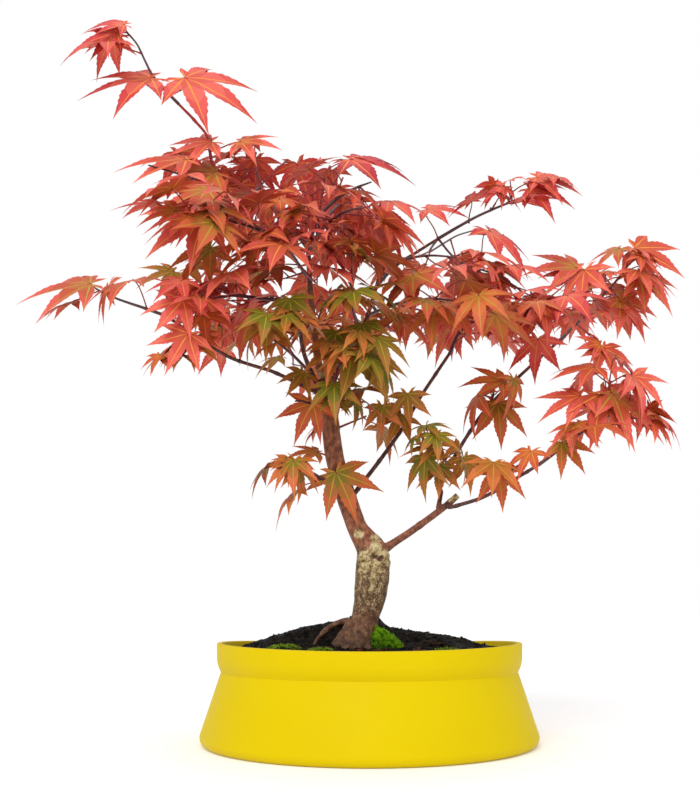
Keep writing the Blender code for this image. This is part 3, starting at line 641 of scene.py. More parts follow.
@dataclass(frozen=True)
class MassPlan:
    """A mass of leaves: its leading shoot, how that is clothed, and its autumn colour.

    tint counts along the autumn tints, and fine says how many finer shoots it gets.
    """

    name: str
    parent: str
    on_tip: bool
    points: tuple[Triple, ...]
    leaf: float
    pairs: int
    side: float
    hang: float
    tint: float
    fine: int
    bare: float = 0.3

    @property
    def seed(self) -> int:
        """The seed of its growth, which follows from its name."""
        return sum(ord(letter) for letter in self.name)


@dataclass(frozen=True)
class Accent:
    """A leaf that stands out of its mass, as it is seen from the front.

    heart and tip say where the foot and the tip of its middle lobe are seen, dip how much
    nearer that tip is, and face how far the blade turns from edge-on, in degrees.
    """

    heart: Pair
    tip: Pair
    dip: float
    face: float


LIMBS = tuple(LimbPlan(*row) for row in (
    ("upper_leader", "trunk", True,
     ((-28, -1, 210), (-30, 0, 222), (-33, 2, 250), (-35, 6, 280)), (2.6, 1.7)),
    ("inner_left_stem", "trunk", False,
     ((-31, -6, 204), (-37, -10, 219), (-39, -18, 241)), (1.7, 1.2)),
    ("inner_right_stem", "trunk", False,
     ((-19, 2, 207), (-13, 4, 217), (-4, 8, 234), (4, 14, 261)), (2.0, 1.4)),
    ("left_bough", "trunk", False,
     ((-32, -5, 197), (-54, -12, 206), (-78, -18, 213), (-108, -24, 232)), (1.4, 1.0)),
    ("rising_shoot", "trunk", False,
     ((-5, 4, 145), (17, 14, 176), (29, 18, 197), (47, 26, 225)), (1.6, 1.2)),
    ("right_bough", "trunk", False,
     ((15, -1, 113), (27, -3, 121), (42, -6, 132), (49, -8, 138)), (2.4, 2.1)),
    ("low_right_shoot", "right_bough", False,
     ((44, -12, 131), (62, -17, 136), (80, -24, 146), (90, -28, 152)), (1.4, 1.1)),
    ("far_right_shoot", "right_bough", False,
     ((40, -3, 140), (42, 1, 150), (64, 12, 186), (86, 18, 209), (112, 26, 233)),
     (1.5, 1.1)),
    ("top_shoot", "upper_leader", False,
     ((-44, 2, 290), (-60, -1, 306), (-86, -6, 321), (-90, -9, 337), (-105, -12, 353)),
     (1.3, 0.9)),
    ("upper_right_shoot", "inner_right_stem", True,
     ((7, 16, 268), (22, 19, 279), (40, 21, 291)), (1.3, 1.0)),
))

MASSES = tuple(MassPlan(*row) for row in (
    ("top_tip", "top_shoot", True,
     ((-119, -13, 368), (-127, -14, 384), (-133, -15, 391)), 27, 2, 0, 10, 8.2, 0, 0.42),
    ("upper_left_high", "top_shoot", False,
     ((-90, -14, 310), (-106, -28, 309), (-116, -38, 308)), 30, 2, 24, 14, 7.6, 3),
    ("upper_left_front", "upper_leader", False,
     ((-52, -28, 275), (-70, -52, 273), (-88, -72, 268)), 31, 3, 26, 20, 5.6, 8),
    ("upper_heart", "upper_leader", False,
     ((-39, -20, 263), (-43, -40, 264), (-47, -58, 261)), 31, 2, 22, 30, 5.4, 8),
    ("upper_crest", "top_shoot", False,
     ((-62, 10, 318), (-66, 22, 330), (-67, 34, 339)), 29, 2, 22, 14, 7.2, 6),
    ("upper_front", "upper_leader", False,
     ((-26, -22, 280), (-14, -48, 279), (-4, -70, 273)), 31, 2, 24, 28, 6.2, 8),
    ("upper_middle", "upper_leader", True,
     ((-28, 8, 300), (-14, 12, 314), (1, 16, 322)), 30, 3, 26, 15, 7.4, 8),
    ("right_upper_front", "inner_right_stem", False,
     ((17, -12, 266), (31, -34, 262), (44, -54, 254)), 29, 2, 24, 28, 6.6, 8),
    ("right_middle", "inner_right_stem", False,
     ((17, -14, 243), (36, -34, 239), (54, -50, 231)), 28, 2, 24, 35, 6.0, 6),
    ("right_rise", "rising_shoot", True,
     ((52, 26, 236), (62, 26, 245), (76, 30, 251)), 27, 2, 22, 28, 6.6, 5),
    ("right_top_inner", "far_right_shoot", False,
     ((101, 4, 238), (99, -16, 241), (94, -34, 239)), 31, 2, 22, 30, 6.2, 6),
    ("right_shoulder", "upper_right_shoot", False,
     ((52, 14, 275), (72, 8, 266), (85, 4, 256)), 27, 2, 22, 30, 7.4, 3),
    ("centre_upper", "inner_right_stem", False,
     ((-10, -14, 241), (-9, -36, 242), (-10, -54, 241)), 25, 2, 22, 45, 3.4, 6),
    ("centre_front", "trunk", False,
     ((-17, -18, 207), (-9, -32, 210), (-2, -46, 210)), 23, 2, 20, 50, 3.2, 5),
    ("centre_left", "inner_left_stem", False,
     ((-38, -32, 221), (-43, -48, 222), (-47, -62, 221)), 23, 2, 20, 45, 3.4, 6),
    ("left_inner", "inner_left_stem", True,
     ((-56, -38, 238), (-71, -56, 234), (-84, -68, 227)), 29, 2, 24, 22, 7.4, 6),
    ("left_outer", "left_bough", False,
     ((-87, -32, 215), (-94, -40, 213), (-102, -46, 212)), 23, 2, 18, 45, 5.0, 4),
    ("far_left", "left_bough", True,
     ((-122, -26, 237), (-135, -28, 241), (-146, -29, 246)), 28, 2, 0, 12, 7.8, 0),
    ("upper_right_tip", "upper_right_shoot", True,
     ((62, 19, 303), (83, 16, 311), (101, 14, 318)), 21, 2, 0, 8, 7.8, 2),
    ("right_top", "far_right_shoot", True,
     ((130, 25, 251), (141, 22, 263), (149, 20, 271)), 24, 3, 20, 20, 7.2, 3),
    ("right_low", "low_right_shoot", True,
     ((108, -32, 165), (122, -34, 175), (137, -36, 181)), 26, 3, 22, 35, 6.8, 4),
    ("right_low_inner", "low_right_shoot", False,
     ((72, -28, 145), (77, -34, 150), (82, -38, 152)), 21, 1, 0, 60, 6.2, 1),
    ("right_shoot_leaves", "far_right_shoot", False,
     ((70, 2, 197), (71, -3, 201), (74, -7, 204)), 21, 1, 0, 70, 5.0, 1),
    ("low_centre", "far_right_shoot", False,
     ((41, -10, 160), (39, -16, 165), (36, -21, 169)), 20, 1, 0, 65, 1.4, 1),
    ("rising_leaves", "rising_shoot", False,
     ((18, 8, 185), (17, 2, 188), (15, -3, 190)), 20, 0, 0, 65, 2.0, 1),
    ("lower_left", "trunk", False,
     ((-26, -10, 147), (-34, -18, 151), (-42, -26, 153)), 21, 1, 0, 50, 4.4, 1),
    ("trunk_side", "trunk", False,
     ((-33, -14, 188), (-37, -20, 188), (-40, -24, 187)), 18, 0, 0, 70, 3.8, 1),
    ("upper_left_back", "upper_leader", False,
     ((-61, 35, 300), (-86, 62, 321), (-110, 84, 335)), 30, 2, 26, 22, 6.4, 6),
    ("upper_back", "upper_leader", False,
     ((-25, 40, 312), (-15, 68, 333), (-6, 92, 346)), 30, 2, 24, 22, 7.6, 6),
    ("right_back", "upper_right_shoot", False,
     ((37, 48, 293), (55, 74, 312), (73, 96, 325)), 29, 2, 26, 22, 6.8, 6),
    ("back_middle", "inner_left_stem", False,
     ((-35, 26, 242), (-33, 58, 266), (-31, 86, 281)), 27, 2, 24, 35, 5.0, 6),
    ("left_back", "trunk", False,
     ((-47, 26, 226), (-70, 50, 246), (-95, 72, 259)), 26, 2, 24, 35, 6.2, 6),
    ("back_right", "inner_right_stem", False,
     ((15, 34, 241), (35, 60, 258), (55, 84, 269)), 27, 2, 24, 35, 5.4, 6),
    ("lower_back", "trunk", False,
     ((-18, 16, 178), (-20, 30, 192), (-24, 44, 200)), 23, 2, 18, 45, 3.4, 3),
))

ACCENTS = {mass: [Accent(*row) for row in rows] for mass, rows in {
    "top_tip": (
        ((-138, 404), (-162, 406), 4, 15), ((-142, 399), (-170, 395), 6, 25),
        ((-123, 374), (-167, 368), 12, 16), ((-104, 374), (-63, 360), 8, 28)),
    "upper_left_high": (
        ((-89, 338), (-119, 331), 6, 20), ((-73, 338), (-49, 338), 8, 20),
        ((-103, 328), (-146, 328), 4, 14), ((-87, 321), (-124, 315), 8, 28)),
    "upper_left_front": (
        ((-91, 311), (-125, 302), 10, 25), ((-87, 303), (-130, 295), 10, 20),
        ((-93, 297), (-129, 280), 10, 50)),
    "far_left": (
        ((-157, 258), (-202, 254), 4, 18), ((-147, 257), (-153, 236), 6, 15)),
    "left_outer": (
        ((-110, 265), (-131, 262), 12, 30), ((-102, 267), (-82, 268), 8, 22)),
    "left_inner": (
        ((-105, 249), (-120, 232), 12, 60), ((-102, 230), (-116, 210), 8, 70)),
    "upper_right_tip": (
        ((90, 312), (118, 307), 6, 30), ((94, 318), (122, 313), 6, 20),
        ((76, 313), (62, 307), 6, 40)),
    "right_shoulder": (
        ((67, 288), (94, 270), 10, 15), ((32, 300), (58, 301), 8, 15)),
    "right_rise": (
        ((117, 267), (86, 270), 6, 25), ((114, 263), (99, 256), 8, 55)),
    "upper_crest": (((-11, 328), (27, 324), 8, 15),),
    "right_top": (
        ((141, 278), (124, 269), 6, 20), ((149, 278), (180, 266), 8, 35),
        ((152, 262), (175, 247), 8, 40), ((141, 249), (160, 231), 8, 45),
        ((131, 222), (143, 205), 8, 50), ((130, 224), (117, 223), 8, 45)),
    "right_top_inner": (
        ((121, 266), (117, 244), 8, 60), ((98, 246), (103, 227), 10, 55),
        ((95, 227), (90, 204), 6, 75)),
    "right_low": (
        ((127, 211), (100, 209), 6, 15), ((148, 206), (171, 193), 8, 35),
        ((119, 195), (93, 185), 6, 35), ((130, 196), (155, 169), 14, 45),
        ((137, 196), (170, 172), 8, 30)),
    "right_low_inner": (
        ((108, 169), (124, 153), 6, 60), ((91, 164), (81, 149), 6, 50),
        ((72, 154), (77, 130), 6, 70)),
    "right_shoot_leaves": (
        ((72, 191), (76, 166), 8, 70), ((75, 203), (51, 207), 4, 30)),
    "low_centre": (
        ((39, 156), (40, 137), 6, 80), ((53, 160), (61, 141), 6, 55),
        ((39, 166), (17, 166), 4, 25), ((50, 166), (36, 170), 4, 35)),
    "rising_leaves": (((18, 184), (9, 169), 10, 75),),
    "lower_left": (
        ((-19, 152), (-4, 126), 8, 75), ((-44, 158), (-59, 147), 8, 45),
        ((-41, 158), (-35, 136), 8, 40), ((-29, 163), (-49, 165), 6, 20)),
    "trunk_side": (((-32, 191), (-44, 171), 8, 75),),
    "centre_left": (((-37, 208), (-46, 196), 8, 70),),
    "centre_front": (
        ((-9, 222), (12, 194), 8, 65), ((-10, 198), (-15, 186), 6, 45),
        ((-9, 195), (-4, 177), 6, 25)),
}.items()}

# Where sky shows between the masses: middle and half sizes, as seen from the front.
SKY = (
    (-142, 421, 45, 10), (-152, 382, 19, 3), (-118, 390, 8, 8), (-81, 385, 25, 6),
    (-139, 355, 12, 6), (-109, 348, 12, 6), (-64, 349, 23, 7), (-36, 336, 16, 5),
    (14, 336, 23, 5), (9, 316, 17, 8), (48, 288, 28, 7), (80, 285, 11, 12),
    (-147, 318, 19, 14),
    (-144, 286, 16, 12), (-113, 276, 17, 6), (-163, 268, 21, 5), (-146, 227, 21, 15),
    (-110, 197, 29, 10), (124, 302, 14, 11), (94, 294, 12, 8), (138, 227, 9, 6),
    (96, 186, 7, 12), (155, 151, 30, 20), (66, 214, 14, 8), (-10, 166, 11, 12),
    (-67, 181, 28, 17), (40, 122, 23, 14), (107, 136, 23, 17), (-11, 345, 23, 7),
    (119, 288, 34, 6),
)


@dataclass
class Limb:
    """The middle line of a limb or a twig, with the radius at each point."""

    points: list[Vector]
    radii: list[float]

    def nearest(self, place: Vector) -> tuple[Vector, Vector, float]:
        """Nearest point of the middle line to a place, with its direction and radius."""
        best = None
        for index in range(len(self.points) - 1):
            start = self.points[index]
            run = self.points[index + 1] - start
            share = max(0.0, min(1.0, (place - start).dot(run) / run.length_squared))
            found = start + run * share
            radius = self.radii[index] * (1 - share) + self.radii[index + 1] * share
            if best is None or (place - found).length < best[0]:
                best = ((place - found).length, found, run.normalized(), radius)
        return best[1:]

    def clearance(self, place: Vector) -> float:
        """How far a place lies outside the limb's bark."""
        found, _, radius = self.nearest(place)
        return (place - found).length - radius


@dataclass
class Leaf:
    """A leaf on its stalk: where it leaves its twig, and the frame of its blade."""

    twig: Limb
    root: Vector
    joint: Vector
    leaving: Vector
    heading: Vector
    side: Vector
    normal: Vector
    size: float
    curl: float

    def spot(self, along: float, across: float) -> Vector:
        """A place on the blade, given in shares of its middle lobe."""
        drop = self.curl * (along * along + across * across)
        return self.joint + self.size * (along * self.heading + across * self.side
                                         - drop * self.normal)


def smooth_path(points: Line, steps: int) -> list[Vector]:
    """A Catmull-Rom curve through the points, with a few steps in each span."""
    ends = [2 * points[0] - points[1], *points, 2 * points[-1] - points[-2]]
    path = []
    for index in range(len(points) - 1):
        a, b, c, d = ends[index:index + 4]
        for step in range(steps):
            t = step / steps
            path.append(0.5 * ((2 * b) + (c - a) * t + (2 * a - 5 * b + 4 * c - d) * t * t
                               + (3 * b - a - 3 * c + d) * t ** 3))
    path.append(points[-1])
    return path


def arc_shares(path: Line) -> list[float]:
    """How far along the path each of its points lies, from 0 to 1."""
    lengths = [0.0]
    for start, end in zip(path, path[1:]):
        lengths.append(lengths[-1] + (end - start).length)
    return [length / lengths[-1] for length in lengths]


def point_at(path: Line, share: float) -> tuple[Vector, Vector]:
    """The place and the direction at a share of the path's length."""
    shares = arc_shares(path)
    for index in range(len(path) - 1):
        if share <= shares[index + 1]:
            part = (share - shares[index]) / (shares[index + 1] - shares[index])
            run = path[index + 1] - path[index]
            return path[index] + run * part, run.normalized()
    return path[-1], (path[-1] - path[-2]).normalized()


def tapered(path: Line, start: float, end: float) -> list[float]:
    """A radius for each point of the path, falling evenly along it."""
    return [start + (end - start) * share for share in arc_shares(path)]


def drawn(points: Line, radii: Sequence[float],
          step: float) -> tuple[list[Vector], list[float]]:
    """A limb's line drawn smoothly, with points about a step apart.

    Args:
        points: The middle line.
        radii: The radius at each point.
        step: The step, in millimetres.

    Returns:
        The new points and the radius at each.
    """
    fine = smooth_path(points, SPAN_STEPS)
    length = sum((end - start).length for start, end in zip(fine, fine[1:]))
    marks = np.linspace(0.0, 1.0, max(4, round(length / step)))
    shares = arc_shares(fine)
    line = np.array([np.interp(marks, shares, [point[axis] for point in fine])
                     for axis in range(3)]).T
    widths = np.interp(marks, shares[::SPAN_STEPS], radii)
    return [Vector(place) for place in line], list(widths)


def seat(limb: Limb, on_tip: bool, toward: Vector, width: float) -> tuple[Vector, Vector]:
    """Where a branch starts on a limb, just clear of it, and which way it leaves.

    Args:
        limb: The limb that carries it.
        on_tip: Whether it goes on from the limb's tip.
        toward: The first point that the branch makes for.
        width: The branch's radius.

    Returns:
        Its foot and its first direction.
    """
    if on_tip:
        leaving = (limb.points[-1] - limb.points[-2]).normalized()
        return limb.points[-1] + leaving * GAP, leaving
    place, along, radius = limb.nearest(toward)
    out = toward - place
    leaving = (out - along * out.dot(along)).normalized()
    foot = place + leaving * (radius + GAP)
    for _ in range(3):
        edges = (foot - along * width, foot + along * width)
        foot += leaving * max(0.0, GAP - min(limb.clearance(edge) for edge in edges))
    return foot, leaving


def branch_path(limb: Limb, on_tip: bool, points: Sequence[Triple], radius: float,
                steps: int) -> list[Vector]:
    """A smooth path from its seat on a limb through the given points."""
    marks = [Vector(point) for point in points]
    foot, leaving = seat(limb, on_tip, marks[0], radius)
    collar = foot + leaving * max(radius, 1.0)
    return [foot, *smooth_path([collar, *marks], steps)]


def unit_or(vector: Vector, fallback: Triple) -> Vector:
    """The vector at length 1, or a fallback where it is close to nothing."""
    return vector.normalized() if vector.length > 0.05 else Vector(fallback)


def frame_round(along: Vector, roll: float) -> Vector:
    """A direction square to a shoot, turned round it by an angle in degrees."""
    level = unit_or(along.cross(UP), (1.0, 0.0, 0.0))
    upright = level.cross(along)
    angle = math.radians(roll)
    return math.cos(angle) * level + math.sin(angle) * upright


@dataclass
class Growth:
    """The seeded rule by which a mass grows: shoots that bear pairs of leaves."""

    TWIG_TIP = 0.45
    PAIR_TURN = 90.0
    PAIR_TURN_SPREAD = 20.0
    PAIR_OPENING = (48.0, 72.0)
    PAIR_SETBACK = 2.2
    TIP_SETBACK = 0.8
    END_PAIR_AIM = (0.7, 0.7)
    END_PAIR_SIZE = 0.88
    END_LEAF_SIZE = 0.75
    SHOOT_SHARE = 0.8
    SHOOT_REACH = (1.15, 0.5)
    SHOOT_SPREAD = (0.8, 1.2)
    SHOOT_LIFT = (-0.1, 0.2)
    SHOOT_PAIR_AIM = (0.6, 0.8)
    SHOOT_LEAF_SIZE = 0.72
    LEAF_SIZE_SPREAD = (0.86, 1.12)
    LEAF_LIFT = (-0.25, 0.15)
    LEAF_CURL = (0.10, 0.26)
    HANG_SPREAD = 20.0
    YAW_SPREAD = 30.0
    ROLL_SPREAD = 25.0
    STALK_LENGTH = (0.40, 0.75)
    STALK_RISE = 0.5
    FINE_HANG = 30.0
    FINE_LEAF = 0.86
    FINE_SHARE = (0.12, 1.0)
    FINE_OPENING = (35.0, 80.0)
    FINE_REACH = (4.0, 20.0)
    FINE_RADIUS = 0.55

    mass: MassPlan
    path: list[Vector]
    radius: float
    twigs: list[Limb] = field(default_factory=list)
    leaves: list[Leaf] = field(default_factory=list)
    rng: random.Random = field(default_factory=random.Random)
    leaf_size: float = 0.0
    hang: float = 0.0

    def grow_main(self) -> None:
        """Grow the leading shoot with its side shoots and leaves."""
        self.rng = random.Random(self.mass.seed)
        self.leaf_size, self.hang = self.mass.leaf, self.mass.hang
        leader = Limb(self.path, tapered(self.path, self.radius, self.TWIG_TIP))
        self.twigs.append(leader)
        roll = self.rng.uniform(0.0, 180.0)
        for pair in range(self.mass.pairs):
            share = self.mass.bare + (1.0 - self.mass.bare) * pair / self.mass.pairs
            place, along = point_at(self.path, share)
            thickness = self.radius + (self.TWIG_TIP - self.radius) * share
            turn = roll + self.PAIR_TURN * pair + self.spread(self.PAIR_TURN_SPREAD)
            for half in (0.0, 180.0):
                leaving = self.opened(along, turn + half, self.PAIR_OPENING)
                if self.mass.side and pair % 2 == 0:
                    longest, less = self.SHOOT_REACH
                    reach = self.mass.side * (longest - less * share)
                    self.side_shoot(place, leaving, self.SHOOT_SHARE * thickness, reach)
                else:
                    self.leaf(leader, place, leaving, 1.0)
        tip, along = point_at(self.path, 1.0)
        turn = roll + self.PAIR_TURN * self.mass.pairs
        self.end_leaves(leader, tip, along, turn, self.END_PAIR_AIM, self.END_LEAF_SIZE)

    def grow_fine(self) -> None:
        """Carry the mass on to finer shoots, anywhere along its leading shoot."""
        self.rng = random.Random(self.mass.seed + 1)
        self.leaf_size = self.FINE_LEAF * self.mass.leaf
        self.hang = min(self.mass.hang, self.FINE_HANG)
        for _ in range(self.mass.fine):
            place, along = point_at(self.path, self.rng.uniform(*self.FINE_SHARE))
            leaving = self.opened(along, self.rng.uniform(0.0, 360.0), self.FINE_OPENING)
            reach = self.rng.uniform(*self.FINE_REACH)
            self.side_shoot(place, leaving, self.FINE_RADIUS, reach)

    def spread(self, width: float) -> float:
        """A seeded draw between minus and plus a width."""
        return self.rng.uniform(-width, width)

    def opened(self, along: Vector, roll: float, opening: Pair) -> Vector:
        """A direction that opens from a shoot by a seeded angle."""
        angle = math.radians(self.rng.uniform(*opening))
        out = frame_round(along, roll)
        return (math.cos(angle) * along + math.sin(angle) * out).normalized()

    def side_shoot(self, root: Vector, leaving: Vector, radius: float, reach: float) -> None:
        """Grow a side shoot with a pair of leaves and a smaller one at its tip.

        Args:
            root: Where it starts.
            leaving: Which way it starts.
            radius: Its radius there.
            reach: About how long it is.
        """
        length = reach * self.rng.uniform(*self.SHOOT_SPREAD)
        roll = self.rng.uniform(0.0, 180.0)
        along = (leaving + UP * self.rng.uniform(*self.SHOOT_LIFT)).normalized()
        tip = root + along * length
        twig = Limb([root, tip], [radius, self.TWIG_TIP])
        self.twigs.append(twig)
        self.end_leaves(twig, tip, along, roll, self.SHOOT_PAIR_AIM, self.SHOOT_LEAF_SIZE)

    def end_leaves(self, twig: Limb, tip: Vector, along: Vector, roll: float,
                   pair_aim: Pair, last_size: float) -> None:
        """Grow the pair of leaves close to a shoot's tip, and the one at the tip.

        Args:
            twig: The shoot.
            tip: Its tip.
            along: Its direction there.
            roll: The pair's turn round it, in degrees.
            pair_aim: How much of the pair's aim is along the shoot, and how much out.
            last_size: The last leaf's share of a leaf's size.
        """
        for half in (0.0, 180.0):
            out = frame_round(along, roll + half)
            aim = (pair_aim[0] * along + pair_aim[1] * out).normalized()
            self.leaf(twig, tip - along * self.PAIR_SETBACK, aim, self.END_PAIR_SIZE)
        self.leaf(twig, tip - along * self.TIP_SETBACK, along, last_size)

    def leaf(self, twig: Limb, root: Vector, leaving: Vector, share: float) -> None:
        """Grow one leaf: a stalk, and a blade that hangs from it.

        Args:
            twig: What it grows on.
            root: Where it leaves that.
            leaving: Which way it leaves.
            share: Its size, as a share of the mass's leaves.
        """
        rng = self.rng
        size = self.leaf_size * share * rng.uniform(*self.LEAF_SIZE_SPREAD)
        stalk = size * rng.uniform(*self.STALK_LENGTH)
        lift = rng.uniform(*self.LEAF_LIFT)
        hang = math.radians(self.hang + self.spread(self.HANG_SPREAD))
        yaw = math.radians(self.spread(self.YAW_SPREAD))
        roll = math.radians(self.spread(self.ROLL_SPREAD))
        curl = rng.uniform(*self.LEAF_CURL)
        aim = Vector((leaving.x, leaving.y, self.STALK_RISE * leaving.z + lift)).normalized()
        level = unit_or(Vector((aim.x, aim.y, 0.0)), (0.0, -1.0, 0.0))
        level = Matrix.Rotation(yaw, 3, "Z") @ level
        heading = math.cos(hang) * level - math.sin(hang) * UP
        side = Matrix.Rotation(roll, 3, heading) @ UP.cross(level)
        normal = heading.cross(side)
        self.leaves.append(Leaf(twig, root, root + aim * stalk, leaving, heading, side,
                                normal, size, curl))


class Skeleton:
    """The trunk's and the boughs' middle lines, which the crown grows from."""

    GROUND = 51.0
    TRUNK_STATIONS = (
        (-7.6, GROUND, 10.6), (-4.6, 59.0, 9.0), (-2.3, 70.0, 7.6), (0.6, 85.0, 9.2),
        (2.0, 100.0, 9.4), (0.4, 109.5, 8.2), (-6.6, 120.0, 5.6), (-13.0, 138.0, 5.6),
        (-19.6, 160.0, 5.1), (-22.6, 184.0, 4.8), (-25.4, 203.6, 4.2))
    STEPS = 2
    STEM_SHARE = 0.7
    STEM_RADIUS_MAX = 1.1
    ROOT_REACH = 26
    ROOT_POINTS = (3, 5)
    ROOT_FLARE = 1.2
    TIP_OVERLAP = 0.3

    def __init__(self) -> None:
        """Work out every limb's line by name, the trunk's first."""
        marks = [Vector((x, radius, height)) for x, height, radius in self.TRUNK_STATIONS]
        path = smooth_path(marks, self.STEPS)
        self.limbs = {"trunk": Limb([Vector((mark.x, 0.0, mark.z)) for mark in path],
                                    [mark.y for mark in path])}
        for plan in LIMBS:
            line = branch_path(self.limbs[plan.parent], plan.on_tip, plan.points,
                               plan.radii[0], self.STEPS)
            self.limbs[plan.name] = Limb(line, tapered(line, *plan.radii))

    def rooted(self, limb: Limb, parent: Limb, on_tip: bool) -> Limb:
        """A limb started anew inside its parent, which it leaves at a slant.

        Args:
            limb: The limb, which starts just clear of its parent.
            parent: The limb that carries it.
            on_tip: Whether it goes on from the parent's tip.

        Returns:
            The limb with its new start.
        """
        if on_tip:
            start = parent.points[-1].lerp(parent.points[-2], self.TIP_OVERLAP)
            return Limb([start, *limb.points], [limb.radii[0], *limb.radii])
        near, far = self.ROOT_POINTS
        first, second = limb.points[near], limb.points[far]
        back = (first - second).normalized()
        starts = [first + back * step for step in range(1, self.ROOT_REACH)]
        start = min(starts, key=parent.clearance)
        if parent.clearance(start) > 0.0:
            start = parent.nearest(limb.points[0])[0]
        return Limb([start, *limb.points[near:]],
                    [self.ROOT_FLARE * limb.radii[0], *limb.radii[near:]])

    def growth(self, mass: MassPlan) -> Growth:
        """The growth of a mass, ready on its bough."""
        parent = self.limbs[mass.parent]
        radius = parent.radii[-1]
        if not mass.on_tip:
            radius = min(self.STEM_RADIUS_MAX, self.STEM_SHARE * radius)
        path = branch_path(parent, mass.on_tip, mass.points, radius, self.STEPS)
        return Growth(mass, path, radius)


# Pot, soil and moss


@dataclass
class Pot:
    """The round pot: an upright lip, a waist, and a wall that spreads to its foot."""

    height: float = 56.3
    rim_radius: float = 85.0
    waist_radius: float = 82.8
    base_radius: float = 94.5
    lip_depth: float = 8.0
    waist_depth: float = 16.0
    base_rounding: float = 4.5
    waist_steps: int = 6
    wall: float = 3.2
    floor: float = 4.0
    rim_rounding: float = 0.8
    rim_sag: float = 1.4
    back_sag: float = 3.2
    recess: Pair = (82.0, 0.8)
    segments: int = 192
    crease: float = 32.0
    finish: PotFinish = field(default_factory=PotFinish)

    def wall_line(self, inset: float = 0.0) -> list[Pair]:
        """Radius and height down the wall, from under the rim to the foot.

        Args:
            inset: How far the line lies inside the wall's outer face.

        Returns:
            The points of the line.
        """
        line = [(self.rim_radius, self.height - self.rim_rounding)]
        for step in range(self.waist_steps + 1):
            share = step / self.waist_steps
            depth = self.lip_depth + (self.waist_depth - self.lip_depth) * share
            slack = (self.rim_radius - self.waist_radius) * (1.0 - share * share)
            line.append((self.waist_radius + slack, self.height - depth))
        line.append((self.base_radius, self.base_rounding))
        return [(radius - inset, height) for radius, height in line]

    def arc(self, middle: Pair, radius: float, angles: Sequence[float]) -> list[Pair]:
        """Points of an arc in the profile, at angles in degrees from outwards."""
        return [(middle[0] + radius * math.cos(math.radians(angle)),
                 middle[1] + radius * math.sin(math.radians(angle))) for angle in angles]

    def profile(self) -> list[Pair]:
        """The whole wall, from the cavity's floor over the rim to the underside."""
        round_in = (self.rim_radius - self.wall + self.rim_rounding,
                    self.height - self.rim_rounding)
        round_out = (self.rim_radius - self.rim_rounding, self.height - self.rim_rounding)
        corner = (self.base_radius - self.base_rounding, self.base_rounding)
        inside = self.wall_line(self.wall)[:0:-1]
        outside = self.wall_line()[1:-1]
        return [(self.base_radius - self.wall - 0.5, self.floor), *inside,
                *self.arc(round_in, self.rim_rounding, (180, 150, 120, 90)),
                *self.arc(round_out, self.rim_rounding, (90, 60, 30, 0)), *outside,
                *self.arc(corner, self.base_rounding, (12, 0, -20, -40, -60, -78, -90)),
                (self.recess[0] + 1.0, 0.0), self.recess]

    def build(self) -> None:
        """Turn the pot, let its rim dip at the front and the back, and dress it."""
        piece = turned("pot_body", self.profile(), self.segments)
        places = mesh_points(piece)
        waist = self.height - self.waist_depth
        lift = np.clip((places[:, 2] - waist) / self.waist_depth, 0.0, None)
        reach = np.maximum(np.hypot(places[:, 0], places[:, 1]), 1.0)
        sag = np.where(places[:, 1] < 0.0, self.rim_sag, self.back_sag)
        places[:, 2] -= sag * lift * (places[:, 1] / reach) ** 2
        set_points(piece, places)
        pick(piece)
        bpy.ops.object.shade_smooth_by_angle(angle=math.radians(self.crease))
        piece.data.materials.append(self.finish.material())
        place_piece(piece, "pot")


@dataclass
class Ground:
    """The soil's surface: low in front of the trunk, and a mound that peaks behind it."""

    edge_radius: float = 81.1
    edge_height: float = 50.5
    front_rise: float = 1.5
    mound_rise: float = 18.0
    step: Pair = (4.0, 5.0)
    knoll: Triple = (-2.0, 14.0, 14.0)
    knoll_rise: float = 3.0
    right_sink: Triple = (0.30, 3.0, 12.0)
    clods: tuple[Pair, Pair] = ((1.1, 7.0), (0.6, 2.2))
    calm: float = 0.3
    calm_width: float = 8.0

    def height(self, x: float, y: float) -> float:
        """Height of the smooth surface over the pot's underside."""
        edge = 1.0 - (x * x + y * y) / self.edge_radius ** 2
        behind = 1.0 / (1.0 + math.exp(-(y - self.step[0]) / self.step[1]))
        sink, start, end = self.right_sink
        behind *= 1.0 - sink * ease(x, start, end)
        away = math.hypot(x - self.knoll[0], y - self.knoll[1]) / self.knoll[2]
        rise = (self.front_rise + self.mound_rise * behind
                + self.knoll_rise * math.exp(-away * away))
        return self.edge_height + max(0.0, edge) * rise

    def rough(self, x: float, y: float) -> float:
        """Height of the crumbly surface, which lies smoother close to the wall."""
        (high, coarse), (low, fine) = self.clods
        clods = high * cloud((x, y, 3.0), coarse, 4) + low * cloud((x, y, 40.0), fine, 2)
        inside = (self.edge_radius - math.hypot(x, y)) / self.calm_width
        return self.height(x, y) + clods * min(1.0, self.calm + inside)


